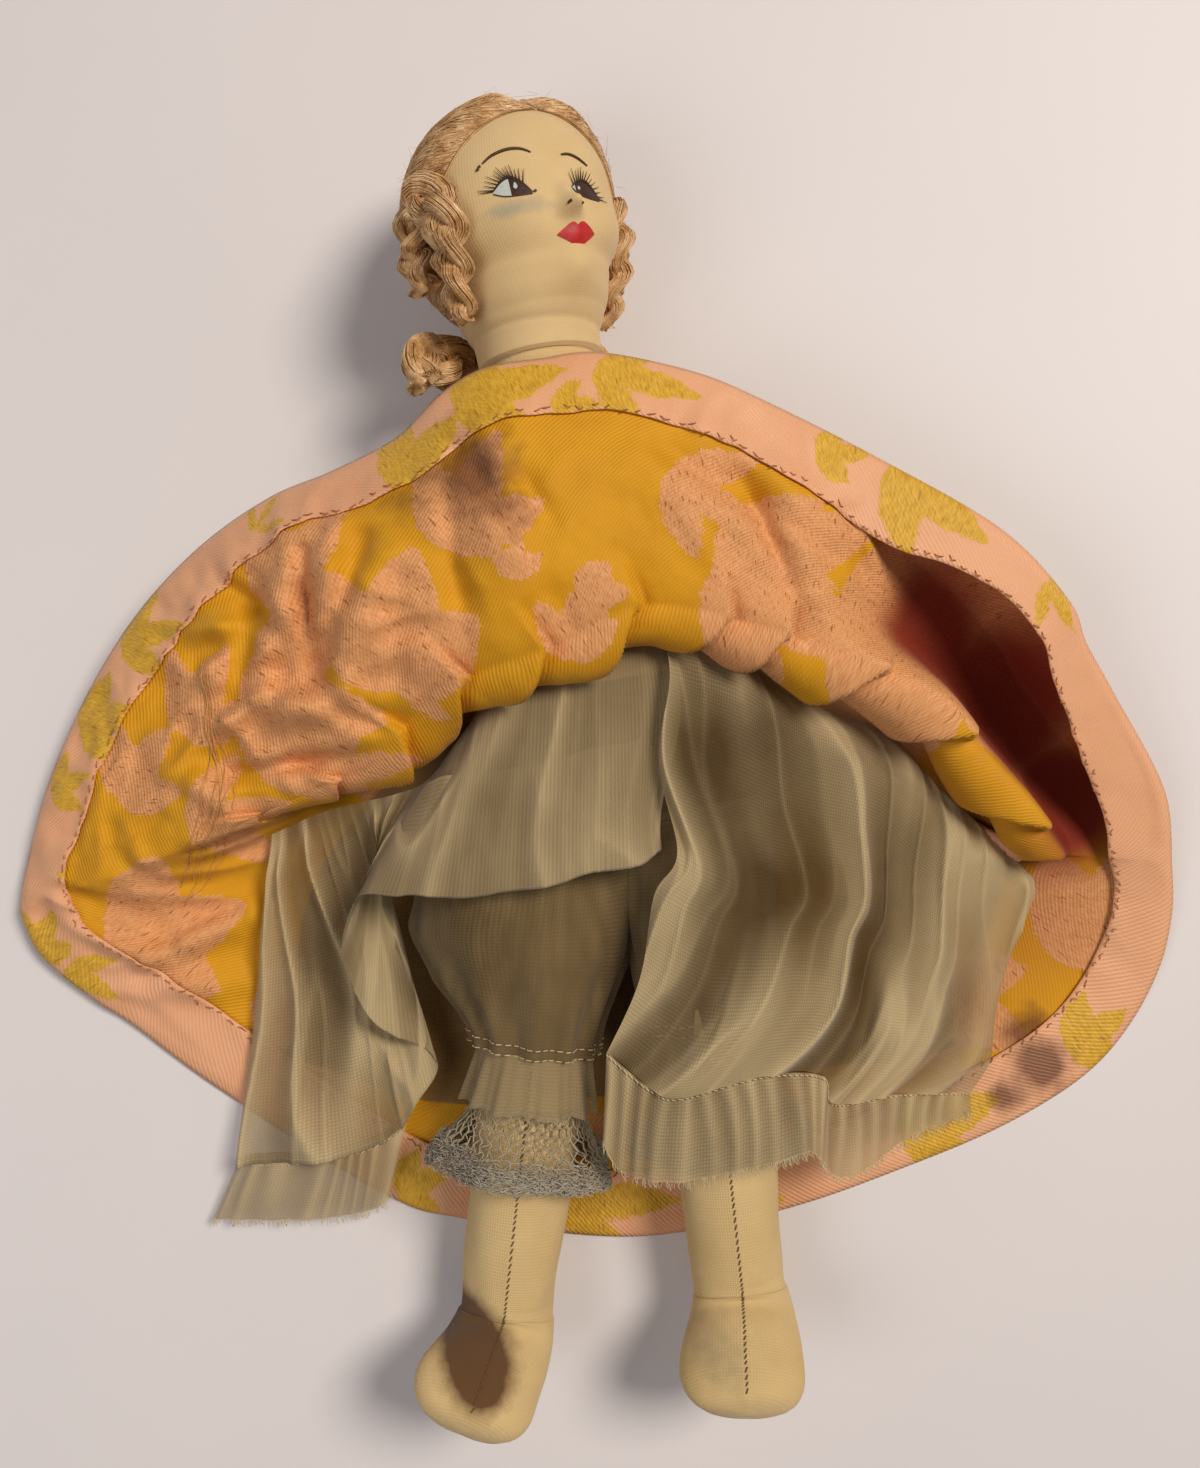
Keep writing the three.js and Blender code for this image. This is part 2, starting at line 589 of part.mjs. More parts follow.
for (const { side, sign } of sides) {
  const rest = HEAD_WIDTH / 2 + HAIR + 0.3;
  const line = new THREE.CatmullRomCurve3([
    [rest, -13, -3], [rest + 1, -2, -2], [rest - 0.5, 7, 5], [rest - 2, 2, 13],
    [rest - 2.5, -11, 12], [rest - 4.5, -26, 5],
  ].map(([x, y, z]) => new THREE.Vector3(sign * x, y, z)));
  const coil = plait(line, STRAND, PLAIT_SPAN, PLAIT_RISE, PLAIT_TURNS, sideways);
  place(head, `${side}_plait`, cut(coil, hairClear), HAIR_FLOSS);
}
const backward = (p) => new THREE.Vector3(p.x * 0.8, 0, p.z).normalize();
const napeLine = new THREE.CatmullRomCurve3([
  [-26.5, -32, -11], [-18, -34, -20], [0, -34, -23.5], [18, -34, -20], [26.5, -32, -11],
].map((p) => new THREE.Vector3(...p)));
const throatWidth = NECK_WIDTH + 2 * THROAT_SWELL;
const neckClear = rod(throatWidth + 4 * GAP, HEAD_HEIGHT, [0, -HEAD_HEIGHT / 2, 0], "y", 16);
const roll = plait(napeLine, BUN_STRAND, BUN_STRAND * 0.9, BUN_STRAND * 0.55, BUN_TURNS, backward);
place(head, "nape_bun", cut(roll, hairClear, neckClear), HAIR_FLOSS);

// Bodice: a close brocade tube on the chest with an armhole at each shoulder.
const bodiceHeights = [
  WAIST_HEIGHT, (WAIST_HEIGHT + CHEST_HEIGHT) / 2, CHEST_HEIGHT, SHOULDER_HEIGHT, TORSO_LENGTH - BODICE_NECK,
];
const bodiceStations = bodiceHeights.map(torsoAt);
const armholes = sides.map(({ sign }) =>
  rod(ARM_ROOT_WIDTH + 9, 24, [sign * SHOULDER_X, SHOULDER_HEIGHT, SHOULDER_AXIS], "x", 14));
const bodice = sleeve(
  sections(bodiceStations.map((s) => grown(s, GAP + BROCADE)), TORSO_SIDES),
  sections(bodiceStations.map((s) => grown(s, GAP)), TORSO_SIDES));
place(body, "bodice", cut(bodice, ...armholes), GOLD_BROCADE);

// Skirt: every angle round the waist has a rib that runs out to the hem.
// The back ribs lie flat. The front ribs come forward, roll over and run back up to the hem at the neck.
const SKIRT_RIBS = 46;
const waist = torsoAt(WAIST_HEIGHT);
const waistOffset = GAP + BROCADE + GAP + BROCADE / 2;
const toDoll = new THREE.Matrix4().makeRotationZ(degToRad(TORSO_TILT));

// How high the skirt has to rise at a plan position so that it lies over an arm wherever the arm swings.
function armCover(x, y) {
  let cover = 0;
  for (const { sign } of sides) {
    const shoulder = new THREE.Vector3(sign * SHOULDER_X, SHOULDER_HEIGHT, 0).applyMatrix4(toDoll);
    for (const swing of [-ARM_SWING, 0, ARM_SWING]) {
      const heading = degToRad(sign * ARM_SPREAD + TORSO_TILT + swing);
      const along = new THREE.Vector3(Math.sin(heading), -Math.cos(heading), 0);
      const from = new THREE.Vector3(x, y, 0).sub(shoulder);
      const reach = THREE.MathUtils.clamp(from.dot(along), 0, ARM_LENGTH);
      const away = from.addScaledVector(along, -reach).length();
      const height = SHOULDER_AXIS + ARM_WIDTH / 2 + 5 - reach * Math.sin(degToRad(ARM_DROP));
      cover = Math.max(cover, height * (1 - smoothstep(away, ARM_WIDTH * 0.62, ARM_WIDTH * 2)));
    }
  }
  return cover;
}

// The hem and the roll of the turned-up front are drawn for a body and a hem of these sizes. They follow when
// one of those changes: across with the hem, along with the neck or the back hem, and up with the hips.
const DRAWN = { width: 354, front: 131.5, back: 127.5, hips: 46.2, neck: 51 };
const frontReach = TORSO_LENGTH - HEM_BELOW_NECK;
const widened = HEM_WIDTH / DRAWN.width;
const raised = (BODY_AXIS + HIP_DEPTH / 2) / DRAWN.hips;
const raisedAtNeck = (NECK_AXIS_HEIGHT + NECK_WIDTH / 2) / DRAWN.neck;
const alongBody = (y) => y * (y > 0 ? frontReach / DRAWN.front : (HEM_LENGTH - frontReach) / DRAWN.back);
function drawn(points, lift = raised) {
  const places = points.map(([x, y, z]) => new THREE.Vector3(x * widened, alongBody(y), z * lift));
  return new THREE.CatmullRomCurve3(places, false, "catmullrom", 0.5);
}
// A value between drawn pairs of place and value.
function between(pairs, at) {
  const above = Math.max(1, pairs.findIndex(([place]) => place >= at));
  const [[a, low], [b, high]] = [pairs[above - 1], pairs[above]];
  return lerp(low, high, THREE.MathUtils.clamp((at - a) / (b - a), 0, 1));
}

// From the doll's left hand over the neck to its right, then back under the legs.
const frontHem = drawn([
  [167, -10, 10], [162, 12, 16], [141, 41, 30], [131, 54, 37], [124, 66, 42], [104, 85, 46], [70, 104, 48],
  [37, 120, 50], [18, 127, 52], [-7, 131.5, 54], [-23, 129.5, 55], [-38, 127, 55], [-50, 121, 52],
  [-63, 110, 47], [-82, 102, 41], [-101, 96, 34], [-123, 83.5, 26], [-144, 65, 18], [-161, 42, 12],
  [-175, 14, 8], [-183, -13, 6], [-185, -26, 6],
], raisedAtNeck);
const backHem = drawn([
  [-185, -26, 6], [-179, -40, 5], [-163, -54, 4], [-152, -61.5, 3], [-125, -82, 2], [-73.5, -114.5, 2],
  [-50, -122, 2], [-7, -127.5, 2], [21, -126, 2], [55, -118, 2], [86, -107, 2], [117, -94, 2], [142, -79, 2],
  [157, -63, 2], [166, -44, 4], [169, -26, 6], [167, -10, 10],
]);
// The edge over which the front rolls, at the height of the roll's middle. Its two ends die out on the back.
const rollEdge = drawn([
  [122, -30, 14], [120, -11, 23], [112, -2, 27], [94, 16, 32], [78, 31, 37], [49, 42, 44], [30, 49, 50],
  [7, 54, 55], [-12, 44.5, 56], [-37, 37, 52], [-48, 31, 46], [-60, 17, 36], [-83, 10, 28], [-108, 0, 20],
  [-114, -22, 12],
]);
const ROLL_START = 0.062;
const ROLL_END = 0.925;
const ROLL_FADE = 0.12;
// How far the turned-up front domes over the chest, and how deep the open valley at the doll's left goes.
const DOME = [[0, -3], [0.25, -3], [0.36, 3], [0.5, 8], [0.6, 13], [0.7, 10], [0.8, 5], [1, 1]];
const VALLEY = [[0, 10], [0.06, 7], [0.14, 8], [0.2, 13], [0.25, 24], [0.31, 38], [1, 38]];
const VALLEY_END = 0.34;

function skirtRib(around) {
  const share = around < 0.75 ? around * 2 : around * 2 - 2;
  const turnedUp = smoothstep(share, -ROLL_FADE, 0.02) * (1 - smoothstep(share, 0.98, 1 + ROLL_FADE));
  const angle = turn * around;
  const start = new THREE.Vector3(
    Math.cos(angle) * (waist.width / 2 + waistOffset), WAIST_HEIGHT,
    waist.z + Math.sin(angle) * (waist.front + waistOffset)).applyMatrix4(toDoll);
  const hem = around <= 0.5 ? frontHem.getPointAt(share) : backHem.getPointAt(around * 2 - 1);
  const reached = share < 0 ? ROLL_START * (1 + Math.max(-ROLL_FADE, share) / ROLL_FADE)
    : share > 1 ? lerp(ROLL_END, 1, Math.min(1, (share - 1) / ROLL_FADE))
      : lerp(ROLL_START, ROLL_END, share);
  const edge = rollEdge.getPointAt(reached);
  const radius = ROLL_RADIUS * smoothstep(reached, -0.06, 0.12) * (1 - 0.6 * smoothstep(reached, 0.9, 1));
  const inward = new THREE.Vector3(hem.x - edge.x, hem.y - edge.y, 0).normalize();
  const rolled = (degrees) => edge.clone()
    .addScaledVector(inward, radius * (1 - Math.cos(degToRad(degrees))))
    .add(new THREE.Vector3(0, 0, radius * Math.sin(degToRad(degrees))));
  const top = rolled(90);
  const facingStart = 1 - FACING_WIDTH / top.distanceTo(hem);
  const onPanel = (t) => {
    const p = new THREE.Vector3().lerpVectors(top, hem, t);
    p.z += between(DOME, share) * Math.sin(Math.PI * t) ** 0.9;
    const hollow = smoothstep(t, 0, 0.3) * (1 - smoothstep(t, facingStart - 0.25, facingStart))
      * (1 - smoothstep(share, VALLEY_END - 0.08, VALLEY_END));
    p.z = lerp(p.z, between(VALLEY, share), hollow);
    p.z += Math.max(0, armCover(p.x, p.y) - p.z) * (1 - smoothstep(t, 0.8, 1));
    return p;
  };
  const middle = new THREE.Vector3().lerpVectors(start, rolled(-30), 0.5);
  const frontRun = [start, middle, rolled(-30), rolled(10), rolled(50), top,
    ...[0.2, 0.45, 0.7, 0.9, 1].map((t) => onPanel(facingStart * t)), hem];
  const backFacing = 1 - FACING_WIDTH / start.distanceTo(hem);
  const backRun = [0, 0.06, 0.12, 0.2, 0.3, 0.4, 0.5, 0.6, 0.7, 0.8, backFacing, 1].map((v) => {
    const p = new THREE.Vector3().lerpVectors(start, hem, v);
    const floor = BROCADE / 2 + Math.max(0, hem.z - 2) * v ** 3;
    p.z = lerp(start.z, floor, smoothstep(v, 0, 0.105));
    return p;
  });
  return backRun.map((p, r) => {
    const q = p.lerp(frontRun[r], turnedUp);
    q.z = Math.max(q.z, BROCADE / 2);
    return q;
  });
}
const skirtRibs = [];
for (let k = 0; k < SKIRT_RIBS; k++) skirtRibs.push(skirtRib(k / SKIRT_RIBS));
const skirtRows = skirtRibs[0].map((_, r) => skirtRibs.map((rib) => rib[r]));
place(doll, "skirt", clothSheet(skirtRows, BROCADE, true), GOLD_BROCADE);

// Hem facing: the turned-in band of sateen along the inside of the hem, lying on the skirt.
const hemRows = skirtRows.slice(-2);
const insideOfHem = clothNormals(skirtRows, true).slice(-2);
const facingSide = insideOfHem[1][0].z > 0 ? 1 : -1;
const facingRows = [0.03, 0.97].map((share) => hemRows[0].map((p, k) => {
  const inside = new THREE.Vector3().lerpVectors(insideOfHem[0][k], insideOfHem[1][k], share).normalize();
  const rise = facingSide * (BROCADE / 2 + GAP + FACING / 2);
  return new THREE.Vector3().lerpVectors(p, hemRows[1][k], share).addScaledVector(inside, rise);
}));
const skirtClear = clothSheet(skirtRows, BROCADE + 2 * GAP - 0.1, true);
place(doll, "hem_facing", cut(clothSheet(facingRows, FACING, true), skirtClear), HEM_SATEEN);

// Bloomers: a seat over the hips that divides into two full legs, drawn in at a cuff below each knee.
const BLOOMERS_SIDES = 12;
function seatStations(offset, low, high) {
  return [low, SEAT_HEIGHT * 0.62, SEAT_HEIGHT, high].map((y) => {
    const hips = torsoAt(Math.max(y, SEAT_HEIGHT));
    if (y >= SEAT_HEIGHT) return grown({ ...hips, y }, offset);
    return grown({ ...hips, y, width: HIP_WIDTH + 3, front: HIP_DEPTH / 2 }, offset);
  });
}
const cuffWidth = lerp(
  THIGH_WIDTH, KNEE_WIDTH, (BLOOMERS_LENGTH - THIGH_START) / (kneeDistance - THIGH_START));
function bloomerLegStations(inset, from, to, outward) {
  const floorDepth = (d) => BODY_AXIS - d * Math.tan(degToRad(LEG_DROP)) - BLOOMERS_FLOOR - 0.2;
  return [from, 20, 42, BLOOMERS_LENGTH - 6, to].map((d) => {
    const gathered = smoothstep(d, 30, BLOOMERS_LENGTH - 2);
    const width = lerp(BLOOMERS_WIDTH, cuffWidth + 2 * (SKIN + GAP + MUSLIN), gathered);
    const depth = width / 2 - lerp(3.8, 0.6, gathered);
    const sway = outward * BLOOMERS_SWAY * (1 - gathered) * smoothstep(d, 2, 16);
    return { y: -d, x: sway / 2, width: width + Math.abs(sway) - 2 * inset, front: depth - inset,
      back: Math.min(depth, floorDepth(d)) - inset };
  });
}
const seatOuter = loft(sections(seatStations(GAP + MUSLIN, 2, BLOOMERS_TOP), TORSO_SIDES));
const seatInner = loft(sections(seatStations(GAP, 2 + MUSLIN, BLOOMERS_TOP + MUSLIN), TORSO_SIDES));
function trouser(limb, inset) {
  const stations = bloomerLegStations(inset, -8 + inset, BLOOMERS_LENGTH + inset, Math.min(0, limb.sign));
  return loft(hung(sections(stations, BLOOMERS_SIDES), limb));
}
const trousersOuter = sides.map((limb) => trouser(limb, 0));
const trousersInner = sides.map((limb) => trouser(limb, MUSLIN));
place(body, "bloomers", cut(join(seatOuter, ...trousersOuter), seatInner, ...trousersInner), SHEER_MUSLIN);

// Frill below each bloomer cuff, and a knitted band with a brushed edge round each leg.
for (const limb of sides) {
  const ringAt = (d, offset, wave, thickness) => {
    const legWidth = lerp(KNEE_WIDTH, ANKLE_WIDTH + 2.5, smoothstep(d, kneeDistance, LEG_LENGTH));
    const ring = [];
    const count = FRILL_WAVES * 2;
    for (let k = 0; k < count; k++) {
      const around = (turn * k) / count;
      const swing = k % 2 === 0 ? wave : -wave;
      const radius = legWidth / 2 + offset + swing;
      const lowest = BLOOMERS_FLOOR + thickness - BODY_AXIS + d * Math.tan(degToRad(LEG_DROP));
      ring.push(new THREE.Vector3(
        Math.cos(around) * radius, -d, Math.max(lowest, Math.sin(around) * (radius - 0.4))));
    }
    return ring;
  };
  const frillStart = BLOOMERS_LENGTH + GAP;
  const frillSpots = [
    [frillStart, 1.8, 0.2],
    [frillStart + FRILL_LENGTH / 2, 3.4, 0.7],
    [frillStart + FRILL_LENGTH, 4.4, 0.9],
  ];
  const frillRings = (inset) =>
    hung(frillSpots.map(([d, offset, wave]) => ringAt(d, offset + MUSLIN - inset, wave, inset)), limb);
  place(body, `${limb.side}_bloomer_frill`, sleeve(frillRings(0), frillRings(MUSLIN)), SHEER_MUSLIN);
  const bandStart = frillStart + FRILL_LENGTH + GAP;
  const bandSpots = [
    [bandStart, 0.7, 1.2],
    [bandStart + CUFF_LENGTH * 0.35, 0.7, 0.4],
    [bandStart + CUFF_LENGTH * 0.75, 0.7, 1.6],
    [bandStart + CUFF_LENGTH, 0.9, 0.4],
  ];
  const bandRing = (d, offset) => {
    const legWidth = lerp(KNEE_WIDTH, ANKLE_WIDTH + 2.5, smoothstep(d, kneeDistance, LEG_LENGTH));
    const depth = legWidth / 2 + offset - 0.4;
    return section({ y: -d, width: legWidth + 2 * offset, front: depth }, BLOOMERS_SIDES);
  };
  const bandOuter = hung(bandSpots.map(([d, offset, puff]) => bandRing(d, offset + KNIT + puff)), limb);
  const bandInner = hung(bandSpots.map(([d, offset]) => bandRing(d, offset)), limb);
  place(body, `${limb.side}_knit_band`, sleeve(bandOuter, bandInner), GREY_KNIT);
}

// Petticoat: a gathered muslin tube round both legs. Its front hangs over the left leg and is swept up over
// the right one. The lines where it comes out from under the skirt's roll, and where it ends, are drawn as a
// share of the way from the doll's left to its right, and a place.
const FRONT_RIBS = 30;
const BACK_RIBS = 12;
const petticoatWaist = torsoAt(PETTICOAT_TOP);
const petticoatOffset = GAP + MUSLIN / 2;
const DRAWN_PETTICOAT_WIDTH = 223;
const fullness = PETTICOAT_WIDTH / DRAWN_PETTICOAT_WIDTH;
const petticoatRun = (points) => points.map(
  ([share, x, y, z]) => [share, new THREE.Vector3(x * fullness, y > 0 ? alongBody(y) : y, z * raised)]);
function runAt(run, at) {
  const above = Math.max(1, run.findIndex(([share]) => share >= at));
  const [[a, from], [b, to]] = [run[above - 1], run[above]];
  return new THREE.Vector3().lerpVectors(from, to, THREE.MathUtils.clamp((at - a) / (b - a), 0, 1));
}
const underRoll = petticoatRun([
  [0, 108, -22, 10], [0.1, 103, -9, 13], [0.2, 87, 7, 17], [0.29, 70, 20, 22], [0.38, 48, 37, 33],
  [0.46, 28, 44, 41], [0.495, 18, 46, 46], [0.53, 10, 48, 48.2], [0.6, -10, 41, 49], [0.68, -34, 32, 43.5],
  [0.74, -46, 26, 36.5], [0.8, -57, 13, 26], [0.88, -76, 6, 19], [1, -104, -4, 11],
]);
const petticoatHem = petticoatRun([
  [0, 116, -40, 11], [0.06, 110, -74, 11], [0.12, 100, -79, 15], [0.2, 80, -77, 26], [0.27, 60, -74, 36],
  [0.34, 38, -67, 47], [0.42, 16, -71, 47.5], [0.49, 0, -64, 46], [0.54, -6, -40, 48], [0.58, -10, -15, 51.5],
  [0.67, -39, -16, 50.5], [0.75, -64, -16, 44], [0.8, -72, -40, 27], [0.84, -74, -66, 16],
  [0.88, -72, -92, 9], [0.93, -92, -100, 9], [1, -116, -102, 7],
]);
function petticoatRib(start, v, from, to, sideways) {
  const p = new THREE.Vector3();
  if (v < 0) {
    p.lerpVectors(start, from, 1 + v);
    p.z += Math.sin(Math.PI * (1 + v)) * lerp(1.2, -7, sideways);
  } else {
    p.lerpVectors(from, to, v);
    p.z += 4.5 * Math.sin(Math.PI * v);
  }
  return p;
}
const petticoatSteps = [-1, -0.5, 0, 0.3, 0.6, 0.85, 1];
const backSteps = [0, 0.136, 0.25, 0.45, 0.65, 0.85, 1];
const petticoatRibs = [];
const waistAt = (angle) => new THREE.Vector3(
  Math.cos(angle) * (petticoatWaist.width / 2 + petticoatOffset), PETTICOAT_TOP,
  petticoatWaist.z + Math.sin(angle) * (petticoatWaist.front + petticoatOffset)).applyMatrix4(toDoll);
for (let k = 0; k <= FRONT_RIBS; k++) {
  const share = k / FRONT_RIBS;
  const start = waistAt(Math.PI * share);
  const sideways = smoothstep(Math.abs(share - 0.55), 0.22, 0.38);
  const [from, to] = [runAt(underRoll, share), runAt(petticoatHem, share)];
  petticoatRibs.push(petticoatSteps.map((v) => petticoatRib(start, v, from, to, sideways)));
}
const petticoatFloor = PETTICOAT_FLOOR + MUSLIN / 2;
for (let k = 1; k < BACK_RIBS; k++) {
  const share = k / BACK_RIBS;
  const start = waistAt(Math.PI * (1 + share));
  const [fromRight, fromLeft] = [petticoatRibs[FRONT_RIBS], petticoatRibs[0]];
  petticoatRibs.push(backSteps.map((_, r) => {
    const side = new THREE.Vector3().lerpVectors(fromRight[r], fromLeft[r], share);
    const flat = new THREE.Vector3(side.x, lerp(start.y, PETTICOAT_BACK_HEM, backSteps[r]), petticoatFloor);
    const middle = Math.sin(Math.PI * share) ** 0.5;
    const p = side.lerp(flat, middle);
    return r === 0 ? start : new THREE.Vector3(p.x, p.y, Math.max(petticoatFloor, p.z));
  }));
}
const petticoatRows = petticoatSteps.map((_, r) => petticoatRibs.map((rib) => rib[r]));
const skirtReach = clothSheet(skirtRows, BROCADE + 2 * GAP, true);
place(doll, "petticoat", trim(clothSheet(petticoatRows, MUSLIN, true), skirtReach), SHEER_MUSLIN);

// The petticoat and the clearance round it, which the ruffles sewn to its hem keep to.
const petticoatReach = petticoatRows.map((row, r) => row.map((p, k) => {
  const past = r === petticoatRows.length - 1 ? GAP : 0;
  const above = petticoatRows[Math.max(0, r - 1)][k];
  return p.clone().addScaledVector(new THREE.Vector3().subVectors(p, above).normalize(), past);
}));
const petticoatClear = clothSheet(petticoatReach, MUSLIN + 2 * GAP, true);

// Ruffles: gathered strips on the two stretches of hem that show, one at each side of the swept-up front.
const RUFFLE_GATHERS = 3;
const ruffleSpans = { left: [0.09, 0.48], right: [0.89, 0.99] };
for (const [side, [from, to]] of Object.entries(ruffleSpans)) {
  const [first, last] = [from, to].map((share) => Math.round(share * FRONT_RIBS));
  const rows = [[], [], []];
  for (let g = first * RUFFLE_GATHERS; g <= last * RUFFLE_GATHERS; g++) {
    const rib = Math.floor(g / RUFFLE_GATHERS);
    const share = g / RUFFLE_GATHERS - rib;
    const [above, hem] = petticoatRows.slice(-2).map(
      (row) => new THREE.Vector3().lerpVectors(row[rib], row[rib + 1], share));
    const hemRow = petticoatRows.at(-1);
    const hemLine = new THREE.Vector3().subVectors(hemRow[rib + 1], hemRow[rib]).normalize();
    const down = new THREE.Vector3().subVectors(hem, above);
    down.addScaledVector(hemLine, -down.dot(hemLine)).normalize();
    [0, 0.5, 1].forEach((drop, r) => {
      const wave = (g % 2 === 0 ? 1 : -1) * RUFFLE_WAVE * drop;
      const p = hem.clone().addScaledVector(down, RUFFLE_DEPTH * drop);
      p.z = Math.max(p.z + wave, PETTICOAT_FLOOR);
      rows[r].push(p);
    });
  }
  const strip = trim(clothSheet(rows, RUFFLE, false), petticoatClear);
  place(doll, `${side}_petticoat_ruffle`, strip, SHEER_MUSLIN);
}

export default doll;
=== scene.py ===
# %% [markdown]
# # A stuffed cloth doll, dressed piece by piece
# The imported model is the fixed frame: it says where each piece sits and what moves. This script dresses it.
# Everything is drawn in millimetres in the same frame as the model and scaled to metres once, at the end of
# each piece, because a doll maker thinks in millimetres and the scene wants metres.

# %% Load the frame and keep its box
import random
from math import acos, asin, cos, exp, pi, radians, sin, sqrt, tan

import bmesh
import bpy
from mathutils import Matrix, Vector, noise
from mathutils.bvhtree import BVHTree


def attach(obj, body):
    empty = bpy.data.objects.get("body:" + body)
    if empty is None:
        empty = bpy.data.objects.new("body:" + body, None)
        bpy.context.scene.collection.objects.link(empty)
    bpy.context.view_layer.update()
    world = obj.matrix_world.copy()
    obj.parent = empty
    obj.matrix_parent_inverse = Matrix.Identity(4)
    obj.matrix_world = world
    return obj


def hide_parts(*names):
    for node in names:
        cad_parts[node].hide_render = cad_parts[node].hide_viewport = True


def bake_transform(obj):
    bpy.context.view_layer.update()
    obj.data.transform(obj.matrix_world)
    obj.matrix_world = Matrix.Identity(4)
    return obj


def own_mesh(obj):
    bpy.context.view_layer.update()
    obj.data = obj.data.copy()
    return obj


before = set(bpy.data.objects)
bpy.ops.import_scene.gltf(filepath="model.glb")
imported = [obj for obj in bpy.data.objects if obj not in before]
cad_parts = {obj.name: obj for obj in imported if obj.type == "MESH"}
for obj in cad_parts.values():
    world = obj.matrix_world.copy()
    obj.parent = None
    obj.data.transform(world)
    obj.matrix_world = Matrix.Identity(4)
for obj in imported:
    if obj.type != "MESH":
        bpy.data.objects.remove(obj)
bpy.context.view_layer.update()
MM = 0.001

# %% [markdown]
# ## The photograph's viewpoint
# The photograph was taken from close above, looking straight down. A lens that is this near makes the chest
# and face look larger than the hem on the table, so the camera stands about as high as the real one must
# have stood. The picture is taller than it is wide, so the lens is fitted to its height.

# %% Camera
VIEW_HEIGHT = 405
VIEW_CENTRE = (-6.8, 28.4)
PICTURE_HEIGHT_PX = 1468
FOCAL_PX = 1300
SENSOR = 36

camera_data = bpy.data.cameras.new("overhead_camera")
camera_data.sensor_fit = "VERTICAL"
camera_data.sensor_height = SENSOR
camera_data.lens = FOCAL_PX * SENSOR / PICTURE_HEIGHT_PX
camera_data.clip_start = 0.01
camera = bpy.data.objects.new("overhead_camera", camera_data)
camera.location = Vector((*VIEW_CENTRE, VIEW_HEIGHT)) * MM
bpy.context.collection.objects.link(camera)
bpy.context.scene.camera = camera
print("camera", round(camera_data.lens, 2), "mm lens at", VIEW_HEIGHT, "mm")

# %% [markdown]
# ## Colours, nodes and meshes: small helpers
# Colours are written as they look on a screen and turned to linear light by one function. One function adds
# a shader node with its settings and what feeds it. Cloth starts as a flat grid, as real cloth does, and
# each point of the grid is then carried to its place: that keeps a clean weave direction in the UV map, in
# metres.

# %% Helpers
def colour(code):
    channels = [int(code[i:i + 2], 16) / 255 for i in (1, 3, 5)]
    linear = [c / 12.92 if c <= 0.04045 else ((c + 0.055) / 1.055) ** 2.4 for c in channels]
    return (*linear, 1.0)


def add_node(tree, kind, feeds=None, **settings):
    node = tree.nodes.new(kind)
    for name, value in settings.items():
        setattr(node, name, value)
    for key, value in (feeds or {}).items():
        if isinstance(key, int):
            socket = node.inputs[key]
        else:
            socket = next(s for s in node.inputs if key in (s.identifier, s.name))
        if isinstance(value, bpy.types.NodeSocket):
            tree.links.new(value, socket)
        else:
            socket.default_value = value
    return node


# The steps that every material repeats. All but the first and the last two return a socket to feed from.
def start_material(name):
    finish = bpy.data.materials.new(name)
    finish.use_nodes = True
    tree = finish.node_tree
    where = add_node(tree, "ShaderNodeTexCoord").outputs
    return finish, tree, tree.nodes["Principled BSDF"], where


def noisy(tree, place, scale, detail, **more):
    feeds = {"Vector": place, "Scale": scale, "Detail": detail, **more}
    return add_node(tree, "ShaderNodeTexNoise", feeds).outputs["Fac"]


def drawn_out(tree, place, scale):
    return add_node(tree, "ShaderNodeMapping", {"Vector": place, "Scale": scale}).outputs[0]


def painted(tree, name):
    return add_node(tree, "ShaderNodeAttribute", attribute_name=name).outputs["Fac"]


def blended(tree, share, low, high, way="MIX"):
    low, high = [colour(c) if isinstance(c, str) else c for c in (low, high)]
    feeds = {"Factor_Float": share, "A_Color": low, "B_Color": high}
    return add_node(tree, "ShaderNodeMix", feeds, data_type="RGBA", blend_type=way).outputs[2]


def scaled_sum(tree, value, times, plus, clamp=False):
    feeds = {0: value, 1: times, 2: plus}
    return add_node(tree, "ShaderNodeMath", feeds, operation="MULTIPLY_ADD", use_clamp=clamp).outputs[0]


def ranged(tree, value, low, high, bottom=0.0, top=1.0):
    feeds = {"Value": value, "From Min": low, "From Max": high, "To Min": bottom, "To Max": top}
    return add_node(tree, "ShaderNodeMapRange", feeds).outputs["Result"]


def bumped(tree, shader, height, strength, distance_mm):
    feeds = {"Height": height, "Strength": strength, "Distance": distance_mm * MM}
    bump = add_node(tree, "ShaderNodeBump", feeds)
    tree.links.new(bump.outputs["Normal"], shader.inputs["Normal"])


def surface(tree, shader, base, levels):
    tree.links.new(base, shader.inputs["Base Color"])
    for name, value in levels.items():
        shader.inputs[name].default_value = value


# A plain material that wavers between two tones. Its noise may be drawn out, and may give it a relief.
def two_tone(name, pale, deep, roughness, scale, detail, stretch=None, relief=None):
    finish, tree, shader, where = start_material(name)
    place = drawn_out(tree, where["Object"], stretch) if stretch else where["Object"]
    shade = noisy(tree, place, scale, detail)
    if relief:
        bumped(tree, shader, shade, *relief)
    surface(tree, shader, blended(tree, shade, deep, pale), {"Roughness": roughness})
    return finish


